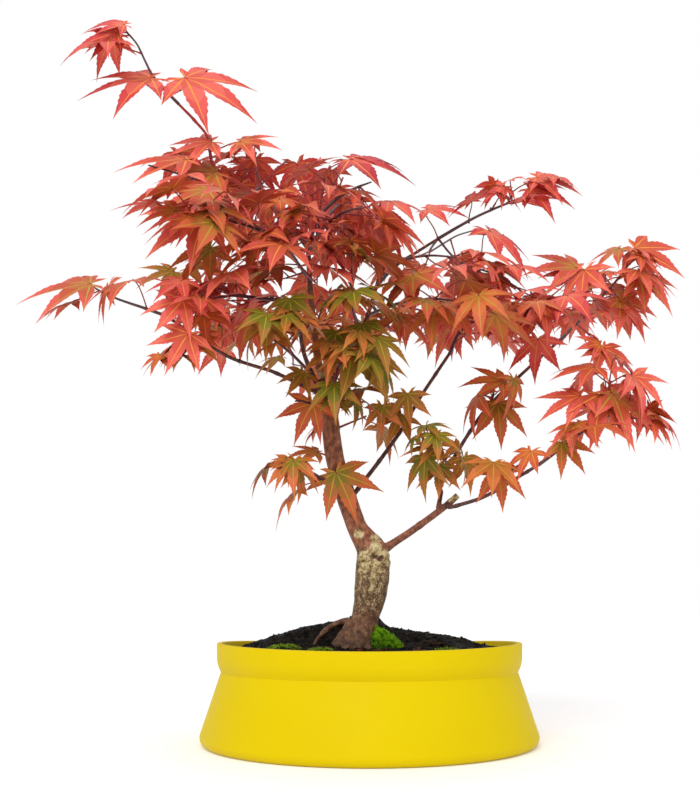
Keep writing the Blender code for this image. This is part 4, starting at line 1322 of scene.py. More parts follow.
@dataclass
class Soil:
    """The soil that fills the pot, with its crumbs and the bits of root on it."""

    ground: Ground
    foot_radius: float = 90.5
    foot_height: float = 4.3
    side: Pair = (1.0, 40.0)
    edge_drop: float = 1.5
    middle: float = 0.4
    rings: int = 80
    segments: int = 220
    crumbs: int = 2600
    crumb_sizes: Pair = (0.3, 1.4)
    crumb_power: float = 1.4
    fine_behind: float = 0.55
    margin: float = 3.0
    rootlets: int = 34
    rootlet_spots: tuple[Pair, ...] = ((-6.0, -26.0), (34.0, -22.0), (34.0, -22.0))
    rootlet_scatter: Pair = (14.0, 12.0)
    rootlet_radii: Pair = (0.32, 0.12)
    rootlet_points: int = 9
    rootlet_steps: Pair = (0.6, 2.2)
    rootlet_turn: float = 0.7
    rootlet_lift: Pair = (0.3, 0.9)
    seed: int = 5
    earth: EarthFinish = EarthFinish("potting soil", srgb(3, 3, 2), srgb(40, 32, 20))
    root: EarthFinish = EarthFinish("dead rootlets", srgb(70, 34, 24), srgb(126, 74, 54),
                                    (0.5, 0.8))

    def build(self) -> None:
        """Build the soil's body, its crumbs and its rootlets."""
        self.body()
        self.litter()

    def body(self) -> None:
        """The soil itself: a solid whose top is heaped and crumbly."""
        edge, level = self.ground.edge_radius, self.ground.edge_height
        inset, side_height = self.side
        top = [(edge * (1.0 - ring / self.rings) + self.middle, level)
               for ring in range(1, self.rings)]
        profile = [(self.foot_radius, self.foot_height), (edge - inset, side_height),
                   (edge, level - self.edge_drop), *top]
        piece = turned("soil_body", profile, self.segments)
        places = mesh_points(piece)
        for place in places:
            if place[2] > level - 0.01:
                place[2] = self.ground.rough(place[0], place[1])
        set_points(piece, places)
        pick(piece)
        bpy.ops.object.shade_smooth()
        piece.data.materials.append(self.earth.material())
        place_piece(piece, "soil")

    def litter(self) -> None:
        """Loose crumbs all over the soil, and dry rootlets that lie across it."""
        rng = random.Random(self.seed)
        crumbs, roots = Batch(), Batch()
        for _ in range(self.crumbs):
            spot = self.spot(rng)
            size = rng.uniform(*self.crumb_sizes) ** self.crumb_power
            size *= self.fine_behind if spot[1] > 0.0 else 1.0
            crumbs.add(lump(rng, size) + spot, BALL[1])
        radii = np.linspace(*self.rootlet_radii, self.rootlet_points)
        for index in range(self.rootlets):
            near = self.rootlet_spots[index % len(self.rootlet_spots)]
            roots.tube(self.rootlet(rng, near), radii, 5)
        for batch, name, finish in ((crumbs, "soil_crumbs", self.earth),
                                    (roots, "soil_rootlets", self.root)):
            piece = batch.piece(name, [finish.material()])
            place_piece(piece)

    def spot(self, rng: random.Random) -> np.ndarray:
        """A seeded place on the crumbly surface."""
        reach = (self.ground.edge_radius - self.margin) * math.sqrt(rng.random())
        turn = rng.uniform(0.0, 2 * math.pi)
        x, y = reach * math.cos(turn), reach * math.sin(turn)
        return np.array((x, y, self.ground.rough(x, y)))

    def rootlet(self, rng: random.Random, near: Pair) -> list[Vector]:
        """A winding line that lies on the soil."""
        x, y = (rng.gauss(*place) for place in zip(near, self.rootlet_scatter))
        turn = rng.uniform(0.0, 2 * math.pi)
        step = rng.uniform(*self.rootlet_steps)
        low, arch = self.rootlet_lift
        line = []
        for index in range(self.rootlet_points):
            reach = math.hypot(x, y) / (self.ground.edge_radius - 2.0)
            x, y = x / max(1.0, reach), y / max(1.0, reach)
            along = math.pi * index / (self.rootlet_points - 1)
            lift = low + arch * math.sin(along) * rng.random()
            line.append(Vector((x, y, self.ground.rough(x, y) + lift)))
            turn += rng.uniform(-self.rootlet_turn, self.rootlet_turn)
            x, y = x + step * math.cos(turn), y + step * math.sin(turn)
        return line


@dataclass
class MossPad:
    """A pad of moss: a cushion, and the tufts that stand on it."""

    CUSHION_STEPS = {"segments": 56, "ring_count": 28}
    LUMPS = (0.35, 4.0)
    SHOULDER = 0.7
    SEAT = (0.4, 1.2)
    TUFT_LENGTHS = (0.8, 2.2)
    TUFT_WIDTHS = (0.16, 0.34)
    TUFT_LEAN = 0.5
    TUFT_RISE = 1.2
    CORNERS = (0.0, 2.1, 4.2)
    FACES = ((2, 1, 0), (0, 1, 3), (1, 2, 3), (2, 0, 3))

    name: str
    x: float
    y: float
    radius: float
    height: float
    tufts: int
    finish: MossFinish
    cushion: MossFinish
    lean: float = 0.0

    def build(self, ground: Ground, seed: int) -> None:
        """Build the pad.

        Args:
            ground: The surface that it lies on.
            seed: The seed of its tufts.
        """
        deselect()
        bpy.ops.mesh.primitive_uv_sphere_add(radius=MM, **self.CUSHION_STEPS)
        piece = bpy.context.object
        unit = mesh_points(piece)
        set_points(piece, np.array([self.surface(ground, *place) for place in unit]))
        pick(piece)
        bpy.ops.object.shade_smooth()
        piece.data.materials.append(self.cushion.material())
        tufts = self.grow_tufts(ground, seed).piece("tufts", [self.finish.material()])
        pick(piece)
        tufts.select_set(True)
        bpy.ops.object.join()
        settle(piece, f"{self.name}_tufts")
        place_piece(piece, self.name)

    def surface(self, ground: Ground, across: float, along: float, up: float) -> Triple:
        """Where a point of a ball of radius 1 lies on the cushion."""
        x, y = self.x + self.radius * across, self.y + self.radius * along
        lump_share, lump_size = self.LUMPS
        sunk, deep = self.SEAT
        lumps = 1.0 + lump_share * cloud((x, y, 7.0), lump_size)
        rise = max(0.0, up) ** self.SHOULDER * self.height * (1.0 - self.lean * across) * lumps
        return x, y, ground.height(x, y) + sunk + rise - deep * max(0.0, -up)

    def grow_tufts(self, ground: Ground, seed: int) -> Batch:
        """Short pointed tufts all over the cushion."""
        rng = random.Random(seed)
        batch = Batch()
        for _ in range(self.tufts):
            turn, reach = rng.uniform(0.0, 2 * math.pi), math.sqrt(rng.random())
            across, along = reach * math.cos(turn), reach * math.sin(turn)
            foot = Vector(self.surface(ground, across, along, math.sqrt(1 - reach * reach)))
            lean = Vector((across + rng.gauss(0, self.TUFT_LEAN),
                           along + rng.gauss(0, self.TUFT_LEAN),
                           self.TUFT_RISE - self.TUFT_LEAN * reach)).normalized()
            length, width = rng.uniform(*self.TUFT_LENGTHS), rng.uniform(*self.TUFT_WIDTHS)
            side = lean.orthogonal().normalized()
            other = lean.cross(side)
            ring = [foot + width * (math.cos(angle) * side + math.sin(angle) * other)
                    for angle in self.CORNERS]
            batch.add(np.array([*ring, foot + lean * length]), self.FACES)
        return batch


MOSS_BRIGHT = MossFinish("moss", srgb(52, 92, 6), srgb(128, 176, 26))
MOSS_DULL = MossFinish("creeping moss", srgb(54, 80, 12), srgb(140, 170, 40))
# The cushions' colours: the tufts' greens darkened, as painted shade down among the stems.
MOSS_SHADED_CUSHION = MossFinish("moss cushion", srgb(24, 44, 6), srgb(62, 98, 12))
MOSS_SHADED_BED = MossFinish("moss bed", srgb(8, 10, 4), srgb(28, 36, 10))
MOSS_PADS = (
    MossPad("moss_clump", 9.5, -6.5, 8.5, 6.4, 2600, MOSS_BRIGHT, MOSS_SHADED_CUSHION, 0.75),
    MossPad("moss_left", -47.0, -14.0, 9.0, 2.2, 420, MOSS_DULL, MOSS_SHADED_BED),
    MossPad("moss_front", -26.0, -30.0, 6.0, 1.6, 260, MOSS_DULL, MOSS_SHADED_BED),
    MossPad("moss_right", 42.0, -24.0, 7.0, 1.5, 90, MOSS_DULL, MOSS_SHADED_BED),
)


# The trunk and the boughs


@dataclass
class Bark:
    """The trunk and every bough under one skin of bark, with its scars and old cuts."""

    ZONES = "zones"
    SAMPLES = 24
    SAMPLE_STEP = 2.0

    skeleton: Skeleton
    ground: Ground
    voxel: float = 0.45
    shrink: float = 0.12
    slim: float = 0.74
    slim_radii: Pair = (1.7, 3.2)
    node_spacing: float = 21.0
    node_rise: float = 0.22
    node_length: float = 1.1
    limb_sides: int = 20
    root_sides: int = 14
    buttress_flare: Triple = (1.2, 1.0, 0.6)
    buttress_depth: float = 2.0
    buttress_sag: float = 1.5
    surface_root: tuple[Triple, ...] = (
        (-4.0, 4.0, 2.4), (-10.0, 9.0, 2.1), (-16.9, 10.6, 1.7), (-22.3, 8.2, 1.5),
        (-26.2, 5.0, 1.35), (-29.5, 0.8, 1.2), (-31.0, -4.0, 0.9))
    buttresses: Swells = (
        ((-8.0, 0.0, 66.0), (-20.0, -3.0, 4.8)), ((-7.5, -1.0, 63.0), (-14.0, -8.6, 4.4)),
        ((-6.0, -1.5, 61.0), (-7.0, -11.0, 4.4)), ((-4.5, -1.0, 62.0), (0.6, -8.6, 4.0)),
        ((-4.0, 1.0, 64.0), (5.0, 0.6, 4.2)), ((-5.0, 3.0, 66.0), (0.6, 9.0, 4.0)),
        ((-8.0, 3.0, 66.0), (-14.0, 9.0, 4.0)))
    knobs: Swells = (
        ((3.0, -6.6, 98.8), (5.0, 3.8, 3.3)), ((7.2, -4.6, 104.6), (4.2, 4.0, 3.6)),
        ((-3.2, -6.0, 103.2), (4.0, 3.2, 2.6)), ((3.6, -4.4, 108.4), (3.6, 3.2, 3.6)),
        ((3.2, -2.6, 113.8), (2.3, 2.3, 3.6)), ((8.6, -1.0, 100.6), (3.4, 4.6, 3.8)),
        ((-6.3, -3.6, 116.8), (2.9, 2.7, 2.9)), ((-11.0, -4.4, 129.6), (1.5, 1.5, 1.5)),
        ((-26.0, -1.0, 201.0), (5.0, 5.0, 3.4)), ((-20.0, -2.6, 186.0), (3.2, 3.2, 3.2)))
    scars: Spots = (
        ((3.0, -10.2, 98.6), 4.6), ((7.2, -8.0, 104.4), 4.4), ((-3.4, -8.6, 103.6), 3.8),
        ((3.6, -6.6, 109.0), 3.6), ((3.4, -4.6, 114.2), 3.2), ((10.0, -3.0, 102.0), 3.6),
        ((-6.3, -6.0, 117.0), 2.9), ((-11.0, -6.0, 129.6), 1.2), ((-1.6, -8.6, 97.2), 2.2),
        ((-5.6, -7.0, 96.6), 1.9), ((49.0, -8.0, 138.0), 5.4), ((-25.6, 0.0, 205.0), 4.4))
    # Pits in the old cuts: sunk, and painted dark as painted shade.
    hollows: Spots = (
        ((-1.6, -9.8, 102.6), 0.9), ((0.4, -10.0, 103.8), 1.1), ((2.4, -10.0, 104.2), 1.1),
        ((4.4, -9.8, 103.9), 1.3), ((6.2, -9.0, 102.8), 1.5), ((-3.0, -9.4, 100.2), 0.8),
        ((-2.6, -9.6, 98.2), 0.6), ((8.4, -7.6, 100.0), 0.7), ((3.6, -10.6, 99.6), 0.5),
        ((5.0, -10.4, 98.4), 0.5), ((-6.3, -6.8, 117.0), 0.5))
    scar_edge: Pair = (1.15, 0.3)
    hollow_edge: Pair = (1.5, 0.7)
    edge_noise: float = 0.4
    scar_rise: float = 0.16
    hollow_depth: float = 1.5
    ring_scar: Triple = (-6.3, -6.0, 117.0)
    ring_reach: float = 4.0
    ring_waves: float = 2.6
    flecks: Triple = (76.0, 84.0, 98.0)
    fleck_fade: float = 8.0
    fleck_share: float = 0.6
    fleck_edges: Pair = (0.12, 0.4)
    thick_radii: Pair = (2.2, 6.0)
    young_radii: Pair = (1.5, 2.6)
    smooth_heights: Pair = (106.0, 112.0)
    upper_heights: Pair = (66.0, 80.0)
    upper_share: float = 0.6
    upper_rough: float = 0.35
    lump_rise: float = 0.55
    crack_rise: float = 0.22
    young_rise: float = 0.04
    finish: BarkFinish = BarkFinish()

    def build(self) -> None:
        """Gather the limbs, draw one skin round them, work its relief and dress it."""
        piece = self.gather().piece("bark_and_boughs", [])
        finish_with(piece, "REMESH", mode="VOXEL", voxel_size=self.voxel * MM,
                    use_smooth_shade=True)
        finish_with(piece, "SMOOTH", factor=0.5, iterations=4)
        self.work_relief(piece)
        piece.data.materials.append(self.finish.material())
        place_piece(piece, *self.skeleton.limbs)

    def gather(self) -> Batch:
        """Closed tubes and knobs that overlap wherever limbs meet."""
        batch = Batch()
        for name, limb in self.skeleton.limbs.items():
            if name == "trunk":
                line, radii = drawn(limb.points, limb.radii, 1.0)
            else:
                plan = next(plan for plan in LIMBS if plan.name == name)
                parent = self.skeleton.limbs[plan.parent]
                rooted = self.skeleton.rooted(limb, parent, plan.on_tip)
                line, radii = drawn(rooted.points, rooted.radii, 1.0)
                radii = self.with_nodes([self.slimmed(radius) for radius in radii])
            batch.tube(line, [radius + self.shrink for radius in radii], self.limb_sides)
        for start, (x, y, reach) in self.buttresses:
            foot = Vector((x, y, self.ground.height(x, y) - self.buttress_depth))
            middle = Vector(start).lerp(foot, 0.5) - UP * self.buttress_sag
            line, radii = drawn([Vector(start), middle, foot],
                                [reach * share for share in self.buttress_flare], 1.5)
            batch.tube(line, radii, self.root_sides)
        spots = [Vector((x, y, self.ground.height(x, y) + 0.6 * radius))
                 for x, y, radius in self.surface_root]
        line, radii = drawn(spots, [radius for _, _, radius in self.surface_root], 1.0)
        batch.tube(line, radii, self.root_sides)
        for place, radii in self.knobs:
            batch.add(BALL_FINE[0] * np.array(radii) + np.array(place), BALL_FINE[1])
        return batch

    def slimmed(self, radius: float) -> float:
        """A young shoot's own radius, a little under its solid's."""
        return radius * (self.slim + (1.0 - self.slim) * ease(radius, *self.slim_radii))

    def with_nodes(self, radii: Sequence[float]) -> list[float]:
        """Radii a millimetre apart, swollen a little at each node of the shoot."""
        swollen = []
        for index, radius in enumerate(radii):
            away = (index % self.node_spacing) - 0.5 * self.node_spacing
            swollen.append(radius + self.node_rise * math.exp(-(away / self.node_length) ** 2))
        return swollen

    def work_relief(self, piece: Piece) -> None:
        """Raise ridges and lumps, sink the hollows, and paint the zones, with painted shade in
        the hollows.
        """
        places = mesh_points(piece)
        normals = np.empty(places.size)
        piece.data.vertex_normals.foreach_get("vector", normals)
        normals = normals.reshape(-1, 3)
        reach = self.limb_radii(places)
        zones = np.zeros((len(places), 4))
        zones[:, 3] = 1.0
        moved = places.copy()
        for index, (place, normal) in enumerate(zip(places, normals)):
            rise, zone = self.relief(place, reach[index])
            moved[index] += normal * rise
            zones[index, :3] = zone
        set_points(piece, moved)
        layer = piece.data.color_attributes.new(self.ZONES, "FLOAT_COLOR", "POINT")
        layer.data.foreach_set("color", zones.ravel())

    def limb_radii(self, places: np.ndarray) -> np.ndarray:
        """The radius of the limb that each place lies nearest to."""
        limbs = self.skeleton.limbs.values()
        tree = KDTree(self.SAMPLES * sum(len(limb.points) for limb in limbs))
        radii: list[float] = []
        for limb in limbs:
            line, widths = drawn(limb.points, limb.radii, self.SAMPLE_STEP)
            for spot, width in zip(line[:self.SAMPLES * len(limb.points)], widths):
                tree.insert(spot, len(radii))
                radii.append(width)
        tree.balance()
        return np.array([radii[tree.find(place)[1]] for place in places])

    def within(self, place: np.ndarray, spots: Spots, edge: Pair, ragged: float) -> float:
        """How far a place lies inside the ragged edge of any spot, from 0 to 1."""
        outer, width = edge
        return max(ease(outer - math.dist(place, middle) / radius + self.edge_noise * ragged,
                        0.0, width) for middle, radius in spots)

    def relief(self, place: np.ndarray, reach: float) -> tuple[float, Triple]:
        """How far the bark stands out at a place, and its three zones there.

        Args:
            place: The place, in millimetres.
            reach: The radius of the limb there.

        Returns:
            The rise in millimetres, and how much of it is scar, upper bark and shoot; the
            hollows count as shoot, as painted shade.
        """
        x, y, height = place
        ragged = cloud(place, 3.0)
        scar = self.within(place, self.scars, self.scar_edge, ragged)
        # The hollows are also painted dark: painted shade in the pits.
        dark = self.within(place, self.hollows, self.hollow_edge, ragged)
        foot, start, end = self.flecks
        band = ease(height, foot, start) * (1.0 - ease(height, end, end + self.fleck_fade))
        fleck = cloud((x, y, 0.7 * height + 50.0), 4.5, 4)
        scar = max(scar, self.fleck_share * band * ease(fleck, *self.fleck_edges))
        thick = ease(reach, *self.thick_radii)
        low = 1.0 - ease(height, *self.smooth_heights)
        rough = thick * (self.upper_rough + (1.0 - self.upper_rough) * low)
        lumps = cloud((x, y, 0.45 * height), 8.0, 3)
        cracks = cloud((x, y, 0.3 * height), 1.6, 3)
        rise = (rough * (self.lump_rise * lumps + self.crack_rise * cracks)
                + self.young_rise * (1.0 - thick) * ragged)
        ring = math.dist(place, self.ring_scar)
        if ring < self.ring_reach:
            wave = math.cos(self.ring_waves * ring)
            rise += self.scar_rise * wave * (1.0 - ring / self.ring_reach)
        rise += (scar * self.scar_rise * cloud(place, 1.6, 2) * thick
                 - self.hollow_depth * dark)
        upper = max(1.0 - low, self.upper_share * (1.0 - ease(height, *self.upper_heights)))
        # The dark shoot colour fills the hollows as painted shade.
        shoot = max(1.0 - ease(reach, *self.young_radii), dark)
        return rise, (scar * (1.0 - dark), upper, shoot)


# The crown


@dataclass(frozen=True)
class Lobe:
    """One lobe of a leaf: its direction in degrees and its length."""

    angle: float
    length: float


class Blade:
    """The outline of a maple leaf, cut into faces along its veins.

    Lengths are shares of the middle lobe.  Each point also has a height over the blade's
    own curve, and each face has a zone: the blade's heart, its body, its tips or a vein.
    """

    HEART, INNER, BODY, TIP, VEIN = range(5)
    LOBES = (Lobe(-130.0, 0.30), Lobe(-86.0, 0.68), Lobe(-42.0, 0.92), Lobe(0.0, 1.0),
             Lobe(42.0, 0.92), Lobe(86.0, 0.68), Lobe(130.0, 0.30))
    SINUSES = ((-109.0, 0.16), (-64.0, 0.32), (-21.0, 0.36),
               (21.0, 0.36), (64.0, 0.32), (109.0, 0.16))
    RIB = (0.20, 0.56, 0.80)
    SPLITS = (0.45, 0.66, 1.0)
    VEIN_WIDTHS = (0.013, 0.008, 0.004)
    TEETH = ((0.43, 0.146), (0.46, 0.130), (0.53, 0.146), (0.56, 0.122), (0.62, 0.122),
             (0.65, 0.094), (0.71, 0.088), (0.74, 0.060), (0.80, 0.050), (0.88, 0.022))
    FOLD = 0.22
    SMALL = 0.4

    def __init__(self) -> None:
        """Lay out the points and the faces of the blade once, for every leaf."""
        self.flat: list[Pair] = []
        self.rise: list[float] = []
        self.faces: list[tuple[int, ...]] = []
        self.zones: list[int] = []
        self.reach: list[float] = []
        self.owner: list[int] = []
        root = self.point((0.0, 0.0), 0.0, 0)
        ribs = [self.rib(index, lobe) for index, lobe in enumerate(self.LOBES)]
        sinuses = [self.bay(index, *sinus) for index, sinus in enumerate(self.SINUSES)]
        for index, (left, right) in enumerate(zip(ribs, ribs[1:])):
            self.face((root, left[0][1], sinuses[index], right[0][0]), self.HEART)
        for index, lobe in enumerate(self.LOBES):
            sides = (sinuses[index - 1] if index else None,
                     sinuses[index] if index < len(sinuses) else None)
            self.clothe(index, lobe, root, ribs[index], sides)
        self.plane = np.array(self.flat)
        self.lift = np.array(self.rise)
        self.extent = np.array(self.reach)
        self.lobe_of = np.array(self.owner)
        self.turn = np.radians([self.LOBES[lobe].angle for lobe in self.owner])
        self.beside = (self.plane[:, 1] * np.cos(self.turn)
                       - self.plane[:, 0] * np.sin(self.turn))
        self.tips = [rib[-1][0] for rib in ribs]

    def point(self, place: Pair, rise: float, lobe: int, reach: float = 0.0) -> int:
        """Add a point and return its number."""
        self.flat.append(place)
        self.rise.append(rise)
        self.reach.append(reach)
        self.owner.append(lobe)
        return len(self.flat) - 1

    def face(self, corners: Sequence[int], zone: int) -> None:
        """Add a face of a zone, wound so that it looks up."""
        ring = list(dict.fromkeys(corners))
        turns = zip(ring, ring[1:] + ring[:1])
        area = sum(self.flat[here][0] * self.flat[after][1]
                   - self.flat[after][0] * self.flat[here][1] for here, after in turns)
        self.faces.append(tuple(ring if area > 0 else ring[::-1]))
        self.zones.append(zone)

    @staticmethod
    def on_lobe(lobe: Lobe, along: float, across: float) -> Pair:
        """A place along a lobe and beside its rib, both as lengths."""
        angle = math.radians(lobe.angle)
        return (along * math.cos(angle) - across * math.sin(angle),
                along * math.sin(angle) + across * math.cos(angle))

    def rib(self, index: int, lobe: Lobe) -> list[tuple[int, int]]:
        """The pairs of points along both sides of a lobe's vein, and last its tip."""
        marks = self.RIB if lobe.length > self.SMALL else self.RIB[:1]
        pairs = []
        for mark, width in zip(marks, self.VEIN_WIDTHS):
            along = mark * lobe.length
            pairs.append(tuple(
                self.point(self.on_lobe(lobe, along, side * width), 0.0, index, along)
                for side in (-1.0, 1.0)))
        tip = self.point(self.on_lobe(lobe, lobe.length, 0.0), 0.0, index, lobe.length)
        pairs.append((tip, tip))
        return pairs

    def bay(self, index: int, angle: float, length: float) -> int:
        """The low point between two lobes."""
        turn = math.radians(angle)
        lobe = min((index, index + 1), key=lambda other: abs(self.LOBES[other].angle))
        rise = self.FOLD * length * 0.34
        return self.point((length * math.cos(turn), length * math.sin(turn)), rise, lobe,
                          length)

    def clothe(self, index: int, lobe: Lobe, root: int, rib: Sequence[tuple[int, int]],
               sides: tuple[int | None, int | None]) -> None:
        """Add the faces of one lobe on both sides of its vein.

        Args:
            index: The lobe's number.
            lobe: The lobe.
            root: The blade's own root.
            rib: The pairs of points along its vein.
            sides: The low points on its two sides, or None at the stalk.
        """
        self.face((root, *rib[0]), self.VEIN)
        for near, far in zip(rib, rib[1:]):
            self.face((*near, *far[::-1]), self.VEIN)
        for side, bay in enumerate(sides):
            margin = self.margin(index, lobe, root if bay is None else bay, 2.0 * side - 1.0)
            inner = [pair[side] for pair in rib]
            ends = self.SPLITS if len(rib) > 2 else self.SPLITS[-1:]
            first = 0
            for step, end in enumerate(ends):
                last = max(spot for spot, (share, _) in enumerate(margin) if share < end)
                ring = [point for _, point in margin[first:last + 1]]
                zone = self.BODY if len(ends) == 1 else (self.INNER, self.BODY, self.TIP)[step]
                self.face((inner[step], inner[step + 1], *ring[::-1]), zone)
                first = last

    def margin(self, index: int, lobe: Lobe, bay: int, out: float) -> list[tuple[float, int]]:
        """The points of a lobe's toothed margin on one side.

        Args:
            index: The lobe's number.
            lobe: The lobe.
            bay: The low point that it starts from.
            out: Which side, as -1 or 1.

        Returns:
            Each point's share of the lobe's length, and its number.
        """
        angle = math.radians(lobe.angle)
        place = self.flat[bay]
        start = (place[0] * math.cos(angle) + place[1] * math.sin(angle)) / lobe.length
        line = [(min(start, self.SPLITS[0] - 0.01), bay)]
        teeth = self.TEETH if lobe.length > self.SMALL else self.TEETH[4:8:2]
        for share, across in teeth:
            if share > start + 0.02:
                far, width = share * lobe.length, across * lobe.length
                line.append((share, self.point(self.on_lobe(lobe, far, out * width),
                                               self.FOLD * width, index, far)))
        return line


class Crown:
    """Every mass of leaves: its twigs, its leaf stalks, its buds and its blades."""

    REGIONS = {"trunk": "inner", "inner_left_stem": "inner", "upper_leader": "upper",
               "top_shoot": "upper", "left_bough": "left", "inner_right_stem": "middle",
               "upper_right_shoot": "right", "rising_shoot": "right", "right_bough": "right",
               "far_right_shoot": "right", "low_right_shoot": "low_right"}
    SHOOTS = (ShootFinish("dark shoot", srgb(78, 46, 50)),
              ShootFinish("red shoot", srgb(142, 44, 42)),
              ShootFinish("olive shoot", srgb(128, 84, 40)),
              ShootFinish("bud", srgb(120, 60, 48)))
    WOOD_SLOT, RED_SLOT, OLIVE_SLOT, BUD_SLOT = range(4)
    SEED = 17
    RUST_HANG = 35.0
    SPRAY_SPREAD = 0.8
    LEAF_SPREAD = 0.5
    GLOWING = 0.35
    SOLID_LOBES = (Lobe(-40.0, 0.90), Lobe(0.0, 1.0), Lobe(40.0, 0.90))
    ON_NODE = 0.25
    EASE = 3.0
    CLEAR = 2.0
    STALK_RADII = (0.42, 0.30)
    STALK_FOOT = 1.5
    STALK_SIDES = 5
    STALK_STEPS = 3
    STALK_BENDS = (0.18, 0.2)
    STALK_END = (0.05, 0.15)
    RED_STALKS = 3.5
    TWIG_SIDES = 7
    TWIG_STEP = 1.4
    TWIG_STOUTEST = 1.6
    NODE_NEAR = 1.2
    NODE_RISE = 0.10
    NODE_LENGTH = 1.1
    BUD_SHARE = 0.5
    BUD_SEAT = 0.7
    BUD_LENGTH = 1.6
    BUD_SPREAD = (0.7, 1.2)
    BUD_SIDES = 6
    BUD_MARKS = (0.0, 0.35, 0.7, 1.0)
    BUD_RADII = (0.35, 0.5, 0.36, 0.06)
    LOBE_DROOP = (0.0, 0.26)
    LOBE_SWAY = (-0.09, 0.09)
    LOBE_TWIST = (-0.12, 0.12)
    DROOP_POWER = 2.4
    BLADE_SCALE = 1.1
    FRESH = (-1.3, -0.6, 0.0, 0.5)
    GLOW = (-3.2, -1.5, 0.0, 0.5)
    TURNED_VEIN = 3.5
    EYE = (563.0, 77.7)
    ACCENT_LEAD = 4.0
    ACCENT_CURL = 0.12

    def __init__(self, skeleton: Skeleton, nodes: dict[str, Piece]) -> None:
        """Get ready to grow every mass.

        Args:
            skeleton: The limbs that carry the masses.
            nodes: The solids by name, which say what each mass holds.
        """
        self.skeleton = skeleton
        self.nodes = nodes
        self.blade = Blade()
        self.shades = autumn()
        self.rng = random.Random(self.SEED)
        self.wood = face_tree(nodes[name] for name in skeleton.limbs)

    def build(self) -> None:
        """Grow every mass, and join its twigs and its leaves by region and kind."""
        shoots = [finish.material() for finish in self.SHOOTS]
        shades = [*self.shades, *(vein.value for vein in Vein)]
        tints = [LeafFinish(f"leaf shade {index}", shade).material()
                 for index, shade in enumerate(shades)]
        wood: dict[str, Batch] = {}
        leaves: dict[tuple[str, str], Batch] = {}
        names: dict[tuple[str, str], list[str]] = {}
        for mass in MASSES:
            region = self.REGIONS[mass.parent]
            kind = "rust_leaves" if mass.hang > self.RUST_HANG else "red_leaves"
            names.setdefault((region, kind), []).append(mass.name)
            self.grow(mass, wood.setdefault(region, Batch()),
                      leaves.setdefault((region, kind), Batch()))
        for region, batch in wood.items():
            place_piece(batch.piece(f"twigs_{region}", shoots))
        for (region, kind), batch in leaves.items():
            piece = batch.piece(f"{kind}_{region}", tints)
            place_piece(piece, *names[region, kind])

    def grow(self, mass: MassPlan, wood: Batch, leaves: Batch) -> None:
        """Grow one mass.

        Args:
            mass: Its plan.
            wood: Gathers its twigs, stalks and buds.
            leaves: Gathers its blades.
        """
        main = self.skeleton.growth(mass)
        main.grow_main()
        tree = face_tree([self.nodes[mass.name]])
        kept = [leaf for leaf in main.leaves
                if self.on_node(leaf, tree) and not self.in_sky(leaf)]
        fine = self.skeleton.growth(mass)
        fine.grow_fine()
        low, high = (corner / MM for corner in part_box(mass.name))
        kept += [leaf for leaf in fine.leaves
                 if self.in_reach(leaf, low, high) and not self.in_sky(leaf)]
        bearing = {id(leaf.twig) for leaf in kept}
        shoots = [twig for twig in [*main.twigs[1:], *fine.twigs] if id(twig) in bearing]
        leader = main.twigs[0]
        parent = self.skeleton.limbs[mass.parent]
        kept += [self.accent(plan, leader, parent) for plan in ACCENTS.get(mass.name, ())]
        inside = parent.points[-1] if mass.on_tip else parent.nearest(leader.points[0])[0]
        roots = [leaf.root for leaf in kept] + [twig.points[0] for twig in shoots]
        self.shoot(wood, [inside, *leader.points], [leader.radii[0], *leader.radii], roots,
                   self.WOOD_SLOT)
        for twig in shoots:
            self.shoot(wood, twig.points, twig.radii, roots, self.RED_SLOT)
        tints = {id(twig): mass.tint + self.rng.gauss(0.0, self.SPRAY_SPREAD)
                 for twig in [leader, *shoots]}
        stalks = self.RED_SLOT if mass.tint > self.RED_STALKS else self.OLIVE_SLOT
        for leaf in kept:
            self.stalk(wood, leaf, stalks)
            self.blade_of(leaves, leaf, tints.get(id(leaf.twig), mass.tint))

    def on_node(self, leaf: Leaf, tree: BVHTree) -> bool:
        """Whether a planned leaf is one that the solid kept."""
        tips = [leaf.spot(*Blade.on_lobe(lobe, lobe.length, 0.0)) for lobe in self.SOLID_LOBES]
        return all(tree.find_nearest(tip)[3] < self.ON_NODE for tip in tips)

    def seen(self, spot: Vector) -> Pair:
        """Where a spot is seen from the front, on the plane through the trunk."""
        away, level = self.EYE
        share = away / (away + spot.y)
        return spot.x * share, level + (spot.z - level) * share

    def placed(self, seen: Pair, depth: float) -> Vector:
        """The spot at a depth behind that plane that is seen at a place on it."""
        away, level = self.EYE
        share = 1.0 + depth / away
        return Vector((seen[0] * share, depth, level + (seen[1] - level) * share))

    def in_sky(self, leaf: Leaf) -> bool:
        """Whether a leaf would hang where sky shows."""
        spots = [self.seen(leaf.spot(*self.blade.flat[tip])) for tip in self.blade.tips]
        spots.append(self.seen(leaf.joint))
        return any(math.hypot((x - gap[0]) / gap[2], (z - gap[1]) / gap[3]) < 1.0
                   for x, z in spots for gap in SKY)

